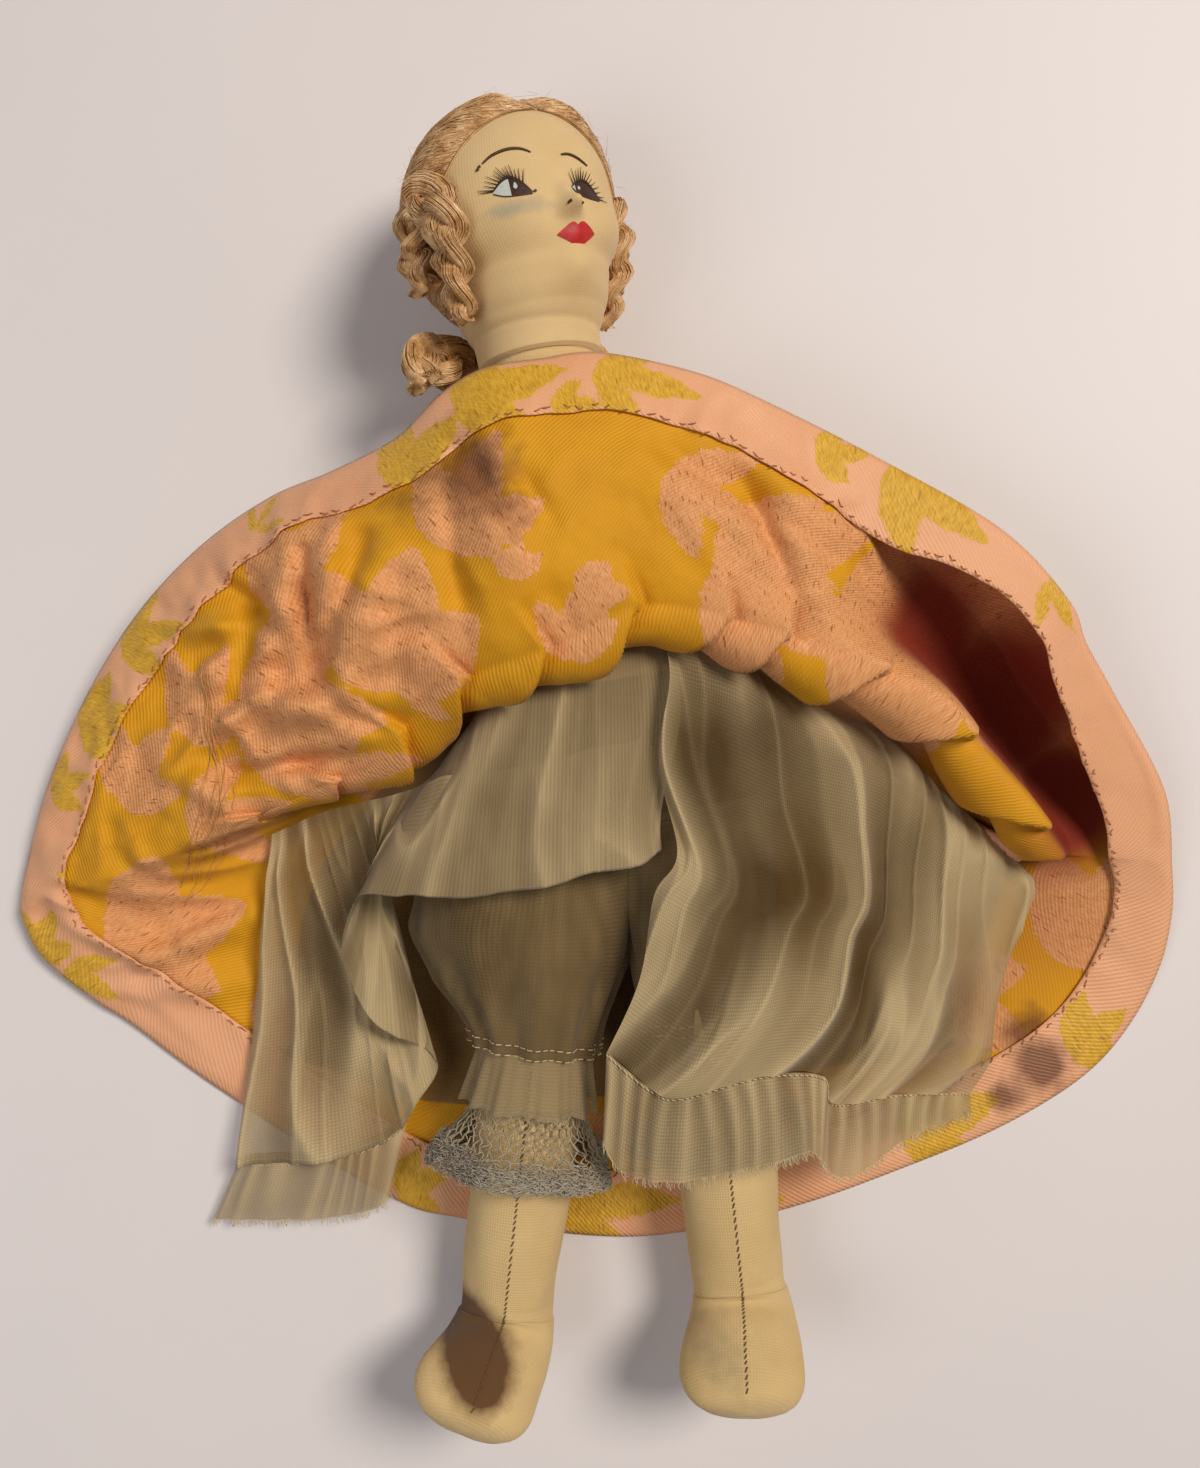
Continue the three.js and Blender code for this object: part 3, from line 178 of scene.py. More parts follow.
def bent_grid(across, along, place, size=(1, 1), closed=False, spread=None):
    bm = bmesh.new()
    uv = bm.loops.layers.uv.new("UVMap")
    bmesh.ops.create_grid(bm, x_segments=across, y_segments=along, size=0.5)
    if spread:
        for vert in bm.verts:
            u, v = spread(vert.co.x + 0.5, vert.co.y + 0.5)
            vert.co = (u - 0.5, v - 0.5, 0)
    for face in bm.faces:
        for loop in face.loops:
            u, v = loop.vert.co.x + 0.5, loop.vert.co.y + 0.5
            loop[uv].uv = (u * size[0] * MM, v * size[1] * MM)
    for vert in bm.verts:
        vert.co = place(vert.co.x + 0.5, vert.co.y + 0.5)
    if closed:
        bmesh.ops.remove_doubles(bm, verts=bm.verts, dist=1e-4)
    bmesh.ops.recalc_face_normals(bm, faces=bm.faces)
    return bm


# A grid wrapped round, for a point that is given by its angle and its share of the length.
def round_grid(across, along, point, size):
    return bent_grid(across, along, lambda u, v: point(u * 2 * pi, v), size, closed=True)


# A stuffed bag is a grid whose open ends are closed.
def close_ends(bm):
    bmesh.ops.holes_fill(bm, edges=[e for e in bm.edges if e.is_boundary], sides=0)
    bmesh.ops.recalc_face_normals(bm, faces=bm.faces)


# Cloth with two sides needs its first side up.
def turn_up(bm):
    if sum((f.normal.z * f.calc_area() for f in bm.faces), 0.0) < 0:
        bmesh.ops.reverse_faces(bm, faces=bm.faces)


def thicken(piece, name, thickness, back=0, rim=0):
    wall = piece.modifiers.new(name, "SOLIDIFY")
    wall.thickness = thickness * MM
    wall.offset = -1
    wall.material_offset = back
    wall.material_offset_rim = rim


def hand_over(mesh, name, materials, body):
    mesh.shade_smooth()
    mesh.materials.clear()
    for finish in materials:
        mesh.materials.append(finish)
    piece = bpy.data.objects.new(name, mesh)
    bpy.context.collection.objects.link(piece)
    if body:
        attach(piece, body)
    return piece


def finish_piece(bm, name, materials, body):
    bmesh.ops.scale(bm, vec=(MM, MM, MM), verts=bm.verts)
    mesh = bpy.data.meshes.new(name)
    bm.to_mesh(mesh)
    bm.free()
    return hand_over(mesh, name, materials, body)


def paint(piece, name, value_at):
    layer = piece.data.attributes.new(name, "FLOAT", "POINT")
    values = [value_at(*(vert.co / MM)) for vert in piece.data.vertices]
    layer.data.foreach_set("value", values)


def clamp(x):
    return min(1, max(0, x))


def ease(low, high, x):
    share = clamp((x - low) / (high - low))
    return share * share * (3 - 2 * share)


def mix(a, b, share):
    return a + (b - a) * share


def spot(x, y, cx, cy, reach):
    return exp(-((x - cx) ** 2 + (y - cy) ** 2) / reach ** 2)


# Smooth noise, from about -1 to 1.
def hills(x, y, z):
    return noise.noise(Vector((x, y, z)))


# Soft round spots on a piece, each with its strength, middle and reach.
def paint_spots(piece, name, spots):
    paint(piece, name, lambda x, y, z: sum(much * spot(x, y, *where) for much, *where in spots))


# A smooth run through given values. Each row starts with where along the run it holds.
def keyed(rows, at):
    at = min(rows[-1][0], max(rows[0][0], at))
    i = next(k for k in range(1, len(rows)) if at <= rows[k][0])
    before, a, b, after = rows[max(0, i - 2)], rows[i - 1], rows[i], rows[min(len(rows) - 1, i + 1)]
    h = (at - a[0]) / (b[0] - a[0])
    out = []
    for p0, p1, p2, p3 in zip(before[1:], a[1:], b[1:], after[1:]):
        m1, m2 = (p2 - p0) / 2, (p3 - p1) / 2
        out.append((2 * h ** 3 - 3 * h ** 2 + 1) * p1 + (h ** 3 - 2 * h ** 2 + h) * m1
                   + (3 * h ** 2 - 2 * h ** 3) * p2 + (h ** 3 - h ** 2) * m2)
    return out


# The same through points, spaced by the lengths between them, from share 0 to share 1.
def spaced(points):
    gone = [0.0]
    for a, b in zip(points, points[1:]):
        gone.append(gone[-1] + (Vector(b) - Vector(a)).length)
    return [(g / gone[-1], *p) for g, p in zip(gone, points)]


print("helpers ready")

# %% [markdown]
# ## Table and light
# The doll lies on a pale table under one broad lamp from the upper right, which throws soft shadows to the
# left. A weak lamp from the other side and an even room light fill them. The levels are plain, so that a
# colour renders about as it is written.

# %% Table, lamps and world
TABLE_SIZE = 3000
TABLE_DROP = 0.3

scene = bpy.context.scene
scene.view_settings.view_transform = "Standard"

# Painted table top: an even, slightly warm white with a very faint mottle.
table_paint = two_tone("Painted_table", "#e4dcd8", "#ddd5d2", 0.55, scale=9.0, detail=4.0)
table_mesh = bmesh.new()
bmesh.ops.create_grid(table_mesh, x_segments=2, y_segments=2, size=TABLE_SIZE / 2)
bmesh.ops.translate(table_mesh, vec=(0, 0, -TABLE_DROP), verts=table_mesh.verts)
bmesh.ops.scale(table_mesh, vec=(MM, MM, MM), verts=table_mesh.verts)
table_data = bpy.data.meshes.new("table")
table_mesh.to_mesh(table_data)
table_mesh.free()
table_data.materials.append(table_paint)
table = bpy.data.objects.new("table", table_data)
bpy.context.collection.objects.link(table)


def add_lamp(name, place, aim, size, watts, tint):
    data = bpy.data.lights.new(name, "AREA")
    data.shape = "DISK"
    data.size = size * MM
    data.energy = watts
    data.color = colour(tint)[:3]
    lamp = bpy.data.objects.new(name, data)
    lamp.location = Vector(place) * MM
    lamp.rotation_euler = (Vector(aim) - Vector(place)).to_track_quat("-Z", "Y").to_euler()
    bpy.context.collection.objects.link(lamp)


add_lamp("broad_lamp", (1050, 720, 1780), (0, 0, 20), 800, 38.0, "#fff8f0")
add_lamp("window_fill", (-700, -250, 1000), (0, 0, 20), 700, 3.6, "#f1f1f5")
world = bpy.data.worlds.new("room")
scene.world = world
world.use_nodes = True
room = world.node_tree.nodes["Background"]
room.inputs["Color"].default_value = colour("#efeff3")
room.inputs["Strength"].default_value = 0.18
print("table and lamps ready")

# %% [markdown]
# ## Calico: the doll's skin
# The legs, arms and trunk are unbleached cotton calico, a plain weave that has yellowed with age. Up close
# the eye sees crossing threads about 0.5 mm apart, soft blotches, and stains where a foot stood in
# something. The threads are two sets of bands at right angles. They are drawn 0.8 mm apart, because finer
# ones vanish in the picture. Stains come from a painted attribute on the mesh, so that they stay where they
# belong on the leg.

# %% Calico material
def bands(period_mm):
    return pi / 10 / (period_mm * MM)


def woven_height(tree, coordinates, period_mm):
    feeds = {
        "Vector": coordinates, "Scale": bands(period_mm),
        "Distortion": 1.2, "Detail": 2.0, "Detail Scale": 1.5,
    }
    warp = add_node(tree, "ShaderNodeTexWave", feeds, bands_direction="X").outputs["Fac"]
    weft = add_node(tree, "ShaderNodeTexWave", feeds, bands_direction="Y").outputs["Fac"]
    return add_node(tree, "ShaderNodeMath", {0: warp, 1: weft}, operation="MULTIPLY").outputs[0]


# One painted attribute darkens this cloth towards its last colour: it carries real stains on the legs, and
# painted shade on the face of the mask.
def calico_material(name, pale, deep, stain_and_shade, thread_mm=0.8, depth=0.35):
    finish, tree, shader, where = start_material(name)
    blotch = noisy(tree, where["Object"], 55.0, 6.0, Roughness=0.62)
    weave = woven_height(tree, where["UV"], thread_mm)
    threads = blended(tree, weave, (0.8, 0.78, 0.74, 1), (1.06, 1.06, 1.06, 1))
    cloth = blended(tree, 0.55, blended(tree, blotch, deep, pale), threads, "MULTIPLY")
    ragged = noisy(tree, where["Object"], 260.0, 5.0, Roughness=0.6)
    stain_and_shade_share = scaled_sum(tree, ragged, 0.45, painted(tree, "stain_and_shade"))
    stain_and_shade_tone = blended(tree, ranged(tree, stain_and_shade_share, 0.38, 0.98, top=0.92), cloth, stain_and_shade)
    bumped(tree, shader, weave, depth, 0.4)
    levels = {"Roughness": 0.88, "Sheen Weight": 0.15, "Sheen Roughness": 0.6, "Specular IOR Level": 0.3}
    surface(tree, shader, stain_and_shade_tone, levels)
    return finish


calico = calico_material("Calico_cotton", "#e6c88f", "#cba96d", "#4f2702")
grey_calico = calico_material("Calico_cotton_soiled", "#e6c88f", "#cba96d", "#8f7f5f")
print("calico ready")

# %% [markdown]
# ## Threads of every kind
# Stitches, loose ends, hair and lashes are all the same thing to a modeller: a line with a thickness. A
# curve with a round bevel makes the tube, and turning the curve into a mesh makes it a piece like any
# other.

# %% Lines with a thickness
def strands(name, lines, radius, finish, body, taper=None):
    curve = bpy.data.curves.new(name, "CURVE")
    curve.dimensions = "3D"
    curve.bevel_depth = radius * MM
    curve.bevel_resolution = 0
    curve.use_fill_caps = True
    for line in lines:
        spline = curve.splines.new("POLY")
        spline.points.add(len(line) - 1)
        spline.points.foreach_set("co", [c for p in line for c in (p[0] * MM, p[1] * MM, p[2] * MM, 1)])
        if taper:
            spline.points.foreach_set("radius", [taper(i / (len(line) - 1)) for i in range(len(line))])
    holder = bpy.data.objects.new(name + ".line", curve)
    bpy.context.collection.objects.link(holder)
    mesh = bpy.data.meshes.new_from_object(holder.evaluated_get(bpy.context.evaluated_depsgraph_get()))
    bpy.data.objects.remove(holder)
    bpy.data.curves.remove(curve)
    mesh.name = name
    return hand_over(mesh, name, [finish], body)


# Spun thread: matt, with small changes of shade along its length.
def thread_material(name, tint, dark, roughness=0.7):
    return two_tone(name, tint, dark, roughness, scale=700.0, detail=2.0)


seam_thread = thread_material("Brown_sewing_thread", "#7d5f35", "#513b1e")
linen = thread_material("Waxed_linen_thread", "#d6bd88", "#bda270", 0.55)
print("thread materials ready")

# %% [markdown]
# ## Legs
# Each leg is one stuffed bag: flat at the hip where it is sewn on, round at the thigh, slimmer at the ankle
# and turned up into a round foot without a shoe. The sections are the ones a pattern cutter would draw: how
# far down the leg, how high, how much the section leans, and its width, front and back depth. A grid is
# wrapped round them. The seam down the front is a raised ridge with its own slanted stitches.

# %% Leg sections and how a leg hangs from its hip
TORSO_TILT = 10
BODY_AXIS = 25.2
HIP_SPACING = 39
LEG_LENGTH = 136
LEG_DROP = 2.6
LEG_STITCHES = 64
STITCHED_SHARES = (0.36, 0.985)
FOOT_STAINS = {
    "right": [(1.2, -43, -145, 8), (1.0, -38, -152, 7), (0.7, -48, -139, 6)],
    "left": [(0.5, 27, -146, 9)],
}
LEGS = {
    "right": {"sign": -1, "spread": -16.3, "foot_turn": -16},
    "left": {"sign": 1, "spread": -3.7, "foot_turn": -8},
}
# Share of the leg, place down it, height, lean in degrees, width, front depth and back depth.
LEG_SECTIONS = [
    (0.00, -1, 0, 0, 28, 1, 1),
    (0.05, -9, 0, 0, 32, 7.4, 7.4),
    (0.10, -18, 0, 0, 34, 14.6, 14.6),
    (0.19, -34, 0, 0, 35, 16.7, 16.7),
    (0.42, -75, 0, 0, 31, 14.7, 14.7),
    (0.60, -109, 0, 0, 29.5, 13.9, 13.9),
    (0.74, -136, 0, 0, 27, 12.7, 12.7),
    (0.78, -141, 1.6, 17, 28.5, 11.8, 14.3),
    (0.82, -146.5, 4, 39, 31, 10.9, 13.9),
    (0.88, -152.6, 13, 56, 34.5, 10.5, 10.8),
    (0.94, -158.2, 21.4, 56, 35, 9, 9.2),
    (0.975, -161.7, 26.6, 56, 28, 6.9, 6.9),
    (0.993, -163, 28.5, 56, 15, 3.4, 3.4),
    (1.00, -163.3, 29.2, 56, 1, 0.3, 0.3),
]
BODY = Matrix.Rotation(radians(TORSO_TILT), 4, "Z")


def section_point(around, y, z, lean, width, front, back):
    rise = sin(around) * (front if sin(around) > 0 else back)
    lift = radians(lean)
    return Vector((cos(around) * width / 2, y + rise * sin(lift), z + rise * cos(lift)))


def hung(p, leg, share=0):
    turned = radians(leg["foot_turn"]) * ease(0.74, 0.93, share)
    ankle = Vector((0, -LEG_LENGTH, 0))
    p = Matrix.Rotation(turned, 3, "Z") @ (p - ankle) + ankle
    spread = radians(leg["spread"])
    squared = spread * ease(4, 44, -p.y)
    return BODY @ Vector((
        leg["sign"] * HIP_SPACING / 2 - p.y * sin(spread) + p.x * cos(squared),
        p.y * cos(spread) + p.x * sin(squared),
        BODY_AXIS + p.z + p.y * tan(radians(LEG_DROP))))


def leg_point(leg, around, share, proud=0.0):
    y, z, lean, width, front, back = keyed(LEG_SECTIONS, share)
    seam = 0.35 * exp(-((around - pi / 2) / 0.08) ** 2) * ease(0.08, 0.14, share)
    crease = -0.25 * exp(-((share - 0.765 - 0.01 * cos(2 * around)) / 0.008) ** 2)
    crease -= 0.45 * exp(-((share - 0.735) / 0.007) ** 2) * (1 + cos(around)) / 2
    lumps = 0.8 * hills(cos(around) * 1.4, share * 11, sin(around) * 1.4 + leg["sign"])
    relief = seam + crease * max(0, sin(around)) + lumps * ease(0.05, 0.2, share)
    grow = proud + relief * min(1, front / 6)
    p = section_point(around, y, z, lean, width + 2 * grow, front + grow, back + grow)
    return hung(p, leg, share)


for side, leg in LEGS.items():
    bm = round_grid(72, 150, lambda a, v: leg_point(leg, a, v), (100, 180))
    close_ends(bm)
    finish = calico if side == "right" else grey_calico
    piece = finish_piece(bm, side + "_leg", [finish], side + "_leg")
    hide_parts(side + "_leg_skin", side + "_leg_filling")
    paint_spots(piece, "stain_and_shade", FOOT_STAINS[side])
    stitches = []
    for k in range(LEG_STITCHES):
        share = mix(*STITCHED_SHARES, k / LEG_STITCHES)
        ends = [leg_point(leg, pi / 2 + s * 0.016, share + s * 0.0034, 0.22) for s in (-1, 0, 1)]
        stitches.append(ends)
    strands(side + "_leg_stitches", stitches, 0.18, seam_thread, side + "_leg")
    print(piece.name, len(piece.data.polygons), "faces and", LEG_STITCHES, "stitches")

# %% [markdown]
# ## Trunk and arms
# The trunk is a stuffed calico bag too, flat where the legs are sewn on and narrow at the neck. The arms
# are mitten arms that lie hidden under the turned-up skirt, so their shape is the usual one for such dolls.

# %% Trunk and arms
# Share of the trunk, place along it, height of its middle, width and half depth.
TORSO_SECTIONS = [
    (0.00, 1, 25.2, 65, 1),
    (0.07, 10, 25.2, 70, 8.2),
    (0.15, 20, 25.2, 73, 16.2),
    (0.24, 32, 25.2, 72, 21),
    (0.44, 60, 25.2, 59, 18),
    (0.66, 90, 25.2, 68, 21),
    (0.82, 112, 29.3, 66, 18),
    (0.91, 124, 32.8, 54, 17),
    (0.96, 131, 33.7, 37, 17),
    (1.00, 136, 34, 31, 15.5),
]


def torso_point(around, share, proud=0.0):
    y, z, width, front = keyed(TORSO_SECTIONS, share)
    return BODY @ Vector((cos(around) * (width / 2 + proud), y, z + sin(around) * (front + proud)))


bm = round_grid(64, 80, torso_point, (200, 140))
close_ends(bm)
trunk = finish_piece(bm, "trunk", [calico], "torso")
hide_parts("torso_skin", "torso_filling")

ARM_LENGTH = 86
ARM_SPREAD = 46
ARM_DROP = 7
DRAWN_ARM = 95
SHOULDER = (40.5, 112, 29.31)
# Share of the arm, place along it, width and half depth.
ARM_SECTIONS = [
    (0.00, 5.2, 1, 0.5),
    (0.02, 4.6, 6, 4.6),
    (0.06, 0, 11, 5.4),
    (0.18, -13, 16.5, 8),
    (0.35, -30, 18, 9),
    (0.57, -53, 16, 8),
    (0.78, -74, 12.5, 6.2),
    (0.88, -84, 16.5, 5),
    (0.96, -92, 13.5, 4),
    (0.99, -94.6, 6.5, 2),
    (1.00, -95, 1, 0.3),
]


def arm_place(sign):
    spread = Matrix.Rotation(radians(sign * ARM_SPREAD), 4, "Z")
    dropped = Matrix.Rotation(radians(ARM_DROP), 4, "X")
    return BODY @ Matrix.Translation((sign * SHOULDER[0], SHOULDER[1], SHOULDER[2])) @ (spread @ dropped)


def arm_point(sign, around, share):
    y, width, front = keyed(ARM_SECTIONS, share)
    thumb = 4.5 * exp(-((y + 80) / 5) ** 2) * max(0, -sign * cos(around)) ** 3
    return Vector((cos(around) * (width / 2 + thumb), y * ARM_LENGTH / DRAWN_ARM, sin(around) * front))


for side, leg in LEGS.items():
    sign = leg["sign"]
    placed = arm_place(sign)
    bm = round_grid(40, 70, lambda a, v: placed @ arm_point(sign, a, v), (55, 100))
    close_ends(bm)
    arm = finish_piece(bm, side + "_arm", [calico], side + "_arm")
    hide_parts(side + "_arm_skin", side + "_arm_filling")
print("trunk and arms ready")


def refinish(solid, material):
    solid.data.materials.clear()
    solid.data.materials.append(material)


# Turned beech: pale, close grain with short darker flecks along the rod.
beech = two_tone("Turned_beech", "#d3ab72", "#a97f4c", 0.6, scale=1.0, detail=3.0, stretch=(900, 70, 900))
refinish(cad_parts["neck_dowel"], beech)
for side in LEGS:
    for seat in ("hip", "shoulder"):
        refinish(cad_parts[side + "_" + seat + "_thread"], linen)
print("dowel and sewn seams finished")

# %% [markdown]
# ## Head
# The head is not felt: it is a woven cotton stretched over a mould and stiffened with size, so that it
# holds a nose, cheeks and a chin. It is made as the model makes it, an egg with soft swellings, on a much
# finer grid. The neck is part of the same mask. The features are painted, so they are thin patches that
# follow the mask's surface.

# %% Head form
HEAD_CENTRE = 176.5
HEAD_TURN = 28
HEAD_WIDTH = 58
HEAD_HEIGHT = 58
FACE_DEPTH = 29
SKULL_DEPTH = 30
FACE_ROUNDNESS = 0.7
SKULL_ROUNDNESS = 0.86
JAW_NARROWING = 0.16
# The swellings fade out over this height, towards the side of the head.
SWELL_FADE = 8
NECK_AXIS_HEIGHT = 34
NECK_BASE = -40.1
HEAD = (BODY @ Matrix.Translation((0, HEAD_CENTRE, NECK_AXIS_HEIGHT))
        @ Matrix.Rotation(radians(HEAD_TURN), 4, "Y"))
# Centre across, centre up, reach and height of each soft swelling of the face.
SWELLINGS = [
    (1.0, -7.8, 2.7, 6.6), (0.2, -3.4, 2.2, 2.0), (-1.6, -8.6, 1.7, 0.8), (3.4, -8.9, 1.7, 0.8),
    (12.5, -11.0, 8.0, 1.8), (-11.5, -11.0, 8.0, 1.8), (2.0, -22.5, 5.5, 2.2), (2.4, -14.6, 4.6, 1.5),
    (2.4, -18.6, 3.0, -0.7), (-13.6, -1.6, 4.6, -0.9), (7.4, -2.4, 4.4, -0.9), (-13.6, -2.0, 3.4, 0.7),
    (7.2, -2.6, 3.2, 0.7), (21.0, 1.0, 7.0, -2.2), (19.0, -13.0, 8.0, 2.0), (2.6, -19.6, 7.0, 1.4),
]


def swell(x, y):
    return sum(height * spot(x, y, cx, cy, reach) for cx, cy, reach, height in SWELLINGS)


def head_spread(y):
    half = HEAD_HEIGHT / 2
    up = acos(min(1, max(-1, -y / half)))
    jaw = 1 - JAW_NARROWING * ease(half * 0.2, half, -y)
    return up, HEAD_WIDTH / 2 * sin(up) ** SKULL_ROUNDNESS * jaw


def head_depth(up, facing):
    return FACE_DEPTH * sin(up) ** FACE_ROUNDNESS if facing else SKULL_DEPTH * sin(up) ** SKULL_ROUNDNESS


def head_point(around, up, offset=0.0):
    y = -cos(up) * HEAD_HEIGHT / 2
    wide = head_spread(y)[1]
    deep = head_depth(up, sin(around) > 0)
    p = Vector((cos(around) * wide, y, sin(around) * deep))
    outward = Vector((p.x, p.y * 0.9, p.z)).normalized()
    lift = swell(p.x, p.y) * ease(0, SWELL_FADE, p.z)
    return p + outward * offset + Vector((0, 0, lift))


def face_depth(x, y):
    up, wide = head_spread(y)
    across = min(0.999, abs(x) / max(wide, 0.1))
    deep = sqrt(1 - across * across) * head_depth(up, True)
    return deep + swell(x, y) * ease(0, SWELL_FADE, deep)


def on_face(x, y, proud):
    return HEAD @ Vector((x, y, face_depth(x, y) + proud))


# The neck flows into the jaw: place along it, half width, and depth in front.
NECK_ROWS = [
    (-40.1, 17.2, 17.2), (-37.0, 17.3, 17.7), (-34.2, 17.6, 18.6), (-30.0, 19.2, 21.2), (-25.0, 20.2, 23.0),
    (-20.0, 18.5, 21.5), (-14.0, 13.0, 15.0),
]
NECK_JOIN = -14
NECK_SHARE = 0.3
NECK_CREASE = -33.6


def soft_max(a, b, blur):
    return (a + b + sqrt((a - b) ** 2 + blur ** 2)) / 2


def neck_point(around, y):
    wide, front = keyed(NECK_ROWS, y)
    up, head_wide = head_spread(y)
    facing = sin(around) > 0
    head_deep = head_depth(up, facing)
    blur = 6 * ease(NECK_JOIN, NECK_JOIN - 7, y)
    fold = 0.4 * exp(-((y - NECK_CREASE + 0.8 * cos(around)) / 0.9) ** 2)
    x = cos(around) * (soft_max(head_wide, wide, blur) - fold)
    z = sin(around) * (soft_max(head_deep, front if facing else wide, blur) - fold)
    return Vector((x, y, z + swell(x, y) * ease(0, SWELL_FADE, z)))


def mask_point(u, v):
    around = 2 * pi * u - 0.28 * sin(4 * pi * u - pi)
    if v < NECK_SHARE:
        return HEAD @ neck_point(around, mix(NECK_BASE, NECK_JOIN, v / NECK_SHARE))
    jaw = acos(-2 * NECK_JOIN / HEAD_HEIGHT)
    return HEAD @ head_point(around, mix(jaw, pi * 0.996, (v - NECK_SHARE) / (1 - NECK_SHARE)))


# Its last colour, a bluish grey, is painted shade on the face, not a stain.
mask_cloth = calico_material("Stiffened_mask_cloth", "#e9ca94", "#d5b27a", "#7f8a80", 0.7, 0.16)
bm = bent_grid(150, 140, mask_point, (180, 120), closed=True)
close_ends(bm)
mask = finish_piece(bm, "head_mask_cloth", [mask_cloth], "head")
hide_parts("head_mask", "head_filling")
to_head = HEAD.inverted()


# Painted shade: a bluish grey under the near eye and beside the nose, where the face lies in shade.
def face_painted_shade(x, y, z):
    p = to_head @ Vector((x, y, z))
    under_eye = 0.5 * exp(-((p.x + 15) / 6) ** 2 - ((p.y + 7.2) / 2.8) ** 2)
    beside_nose = 0.3 * exp(-((p.x + 6) / 4) ** 2 - ((p.y + 7) / 3) ** 2)
    return (under_eye + beside_nose) * ease(0, 10, p.z)


paint(mask, "stain_and_shade", face_painted_shade)
print("head", len(mask.data.polygons), "faces")

# %% [markdown]
# ## Painted features
# The eyes look to the doll's left: each has its white at the doll's right and a dark brown iris with a
# glint at its left, under a dark upper lid and a row of fine lashes. The brows are single brush strokes,
# and the lips a red cupid's bow. Lips, whites, irises and glints are small patches between a lower and an
# upper line, and the rest are lines. All lie about a quarter to half a millimetre proud of the cloth, like
# a layer of paint.

# %% Paints
# Artist's oil paint on cloth: satin and a little uneven, like the cloth under it.
def paint_material(name, tint, deep, roughness):
    return two_tone(name, tint, deep, roughness, scale=900.0, detail=4.0, relief=(0.25, 0.2))


lip_red = paint_material("Red_lip_paint", "#cf1f1a", "#9c0f0d", 0.5)
eye_brown = paint_material("Brown_eye_paint", "#4a2a17", "#2a150b", 0.4)
eye_white = paint_material("White_eye_paint", "#d3d6cd", "#a9b0a6", 0.45)
brow_brown = paint_material("Brown_brow_paint", "#5d4023", "#3a2512", 0.6)


def face_patch(name, finish, rows, proud, across=28, along=8):
    def place(u, v):
        x, lower, upper = keyed(rows, u)
        return on_face(x, mix(lower, upper, v), proud)
    return finish_piece(bent_grid(across, along, place), name, [finish], "head")


# Share of the patch, place across the face, lower line and upper line.
LIPS = [
    (0.00, -3.2, -14.9, -14.7), (0.16, -1.4, -16.0, -13.4), (0.32, 0.5, -17.2, -12.2),
    (0.42, 1.7, -17.8, -12.2), (0.50, 2.5, -18.0, -12.7), (0.58, 3.4, -17.8, -12.0),
    (0.70, 4.9, -16.9, -11.7), (0.85, 6.8, -15.6, -12.8), (1.00, 8.3, -14.4, -14.1),
]
EYES = {
    "near": [(0.00, -17.7, -2.6, -1.9), (0.25, -15.6, -3.8, 0.3), (0.5, -13.6, -4.2, 1.0),
             (0.75, -11.2, -4.3, -0.6), (1.00, -8.8, -4.2, -3.8)],
    "far": [(0.00, 2.6, -3.0, -2.4), (0.25, 5.0, -4.2, -0.6), (0.5, 7.2, -4.8, -0.1),
            (0.75, 9.4, -5.1, -1.5), (1.00, 11.6, -5.2, -4.6)],
}
IRISES = {
    "near": [(0.0, -13.9, -3.9, 0.9), (0.2, -13.4, -4.2, 1.0),
             (0.5, -11.8, -4.3, -0.1), (1.0, -8.8, -4.2, -3.8)],
    "far": [(0.0, 4.0, -3.6, -1.4), (0.2, 5.0, -4.2, -0.6),
            (0.6, 8.4, -5.0, -0.7), (1.0, 11.6, -5.2, -4.6)],
}
GLINTS = {
    "near": [(0.0, -13.2, -2.0, -1.8), (0.5, -12.7, -2.5, -0.6), (1.0, -12.2, -1.9, -1.5)],
    "far": [(0.0, 4.6, -2.6, -2.4), (0.5, 5.0, -3.0, -1.9), (1.0, 5.5, -2.6, -2.3)],
}
face_patch("painted_lips", lip_red, LIPS, 0.25)
for eye, rows in EYES.items():
    face_patch("painted_white_" + eye, eye_white, rows, 0.22)
for eye in EYES:
    face_patch("painted_iris_" + eye, eye_brown, IRISES[eye], 0.34)
for eye in EYES:
    face_patch("painted_glint_" + eye, eye_white, GLINTS[eye], 0.44, 8, 4)


def stroke(points, steps=30):
    run = spaced(points)
    return [on_face(*keyed(run, k / steps), 0.22) for k in range(steps + 1)]


def brush(share):
    return 0.25 + 0.75 * sin(pi * min(1, 0.1 + share * 0.85)) ** 0.7


brow_lines = [
    stroke([(-18.6, 6.3), (-16.2, 7.9), (-12.6, 8.8), (-9.4, 8.5), (-6.9, 7.2)]),
    stroke([(1.6, 6.6), (4.0, 7.0), (6.6, 6.4), (10.0, 4.7)]),
]
strands("painted_brows", brow_lines, 0.44, brow_brown, "head", brush)


# A line along an eye: its lower edge is column 1 of the rows, and its upper edge column 2.
def eye_lines(column, proud, steps=20):
    lines = []
    for rows in EYES.values():
        points = [keyed(rows, k / steps) for k in range(steps + 1)]
        lines.append([on_face(p[0], p[column], proud) for p in points])
    return lines


def lid_width(share):
    return 0.4 + 0.6 * sin(pi * share)


strands("painted_lids", eye_lines(2, 0.3), 0.42, eye_brown, "head", lid_width)
strands("painted_under_lids", eye_lines(1, 0.28), 0.16, brow_brown, "head")
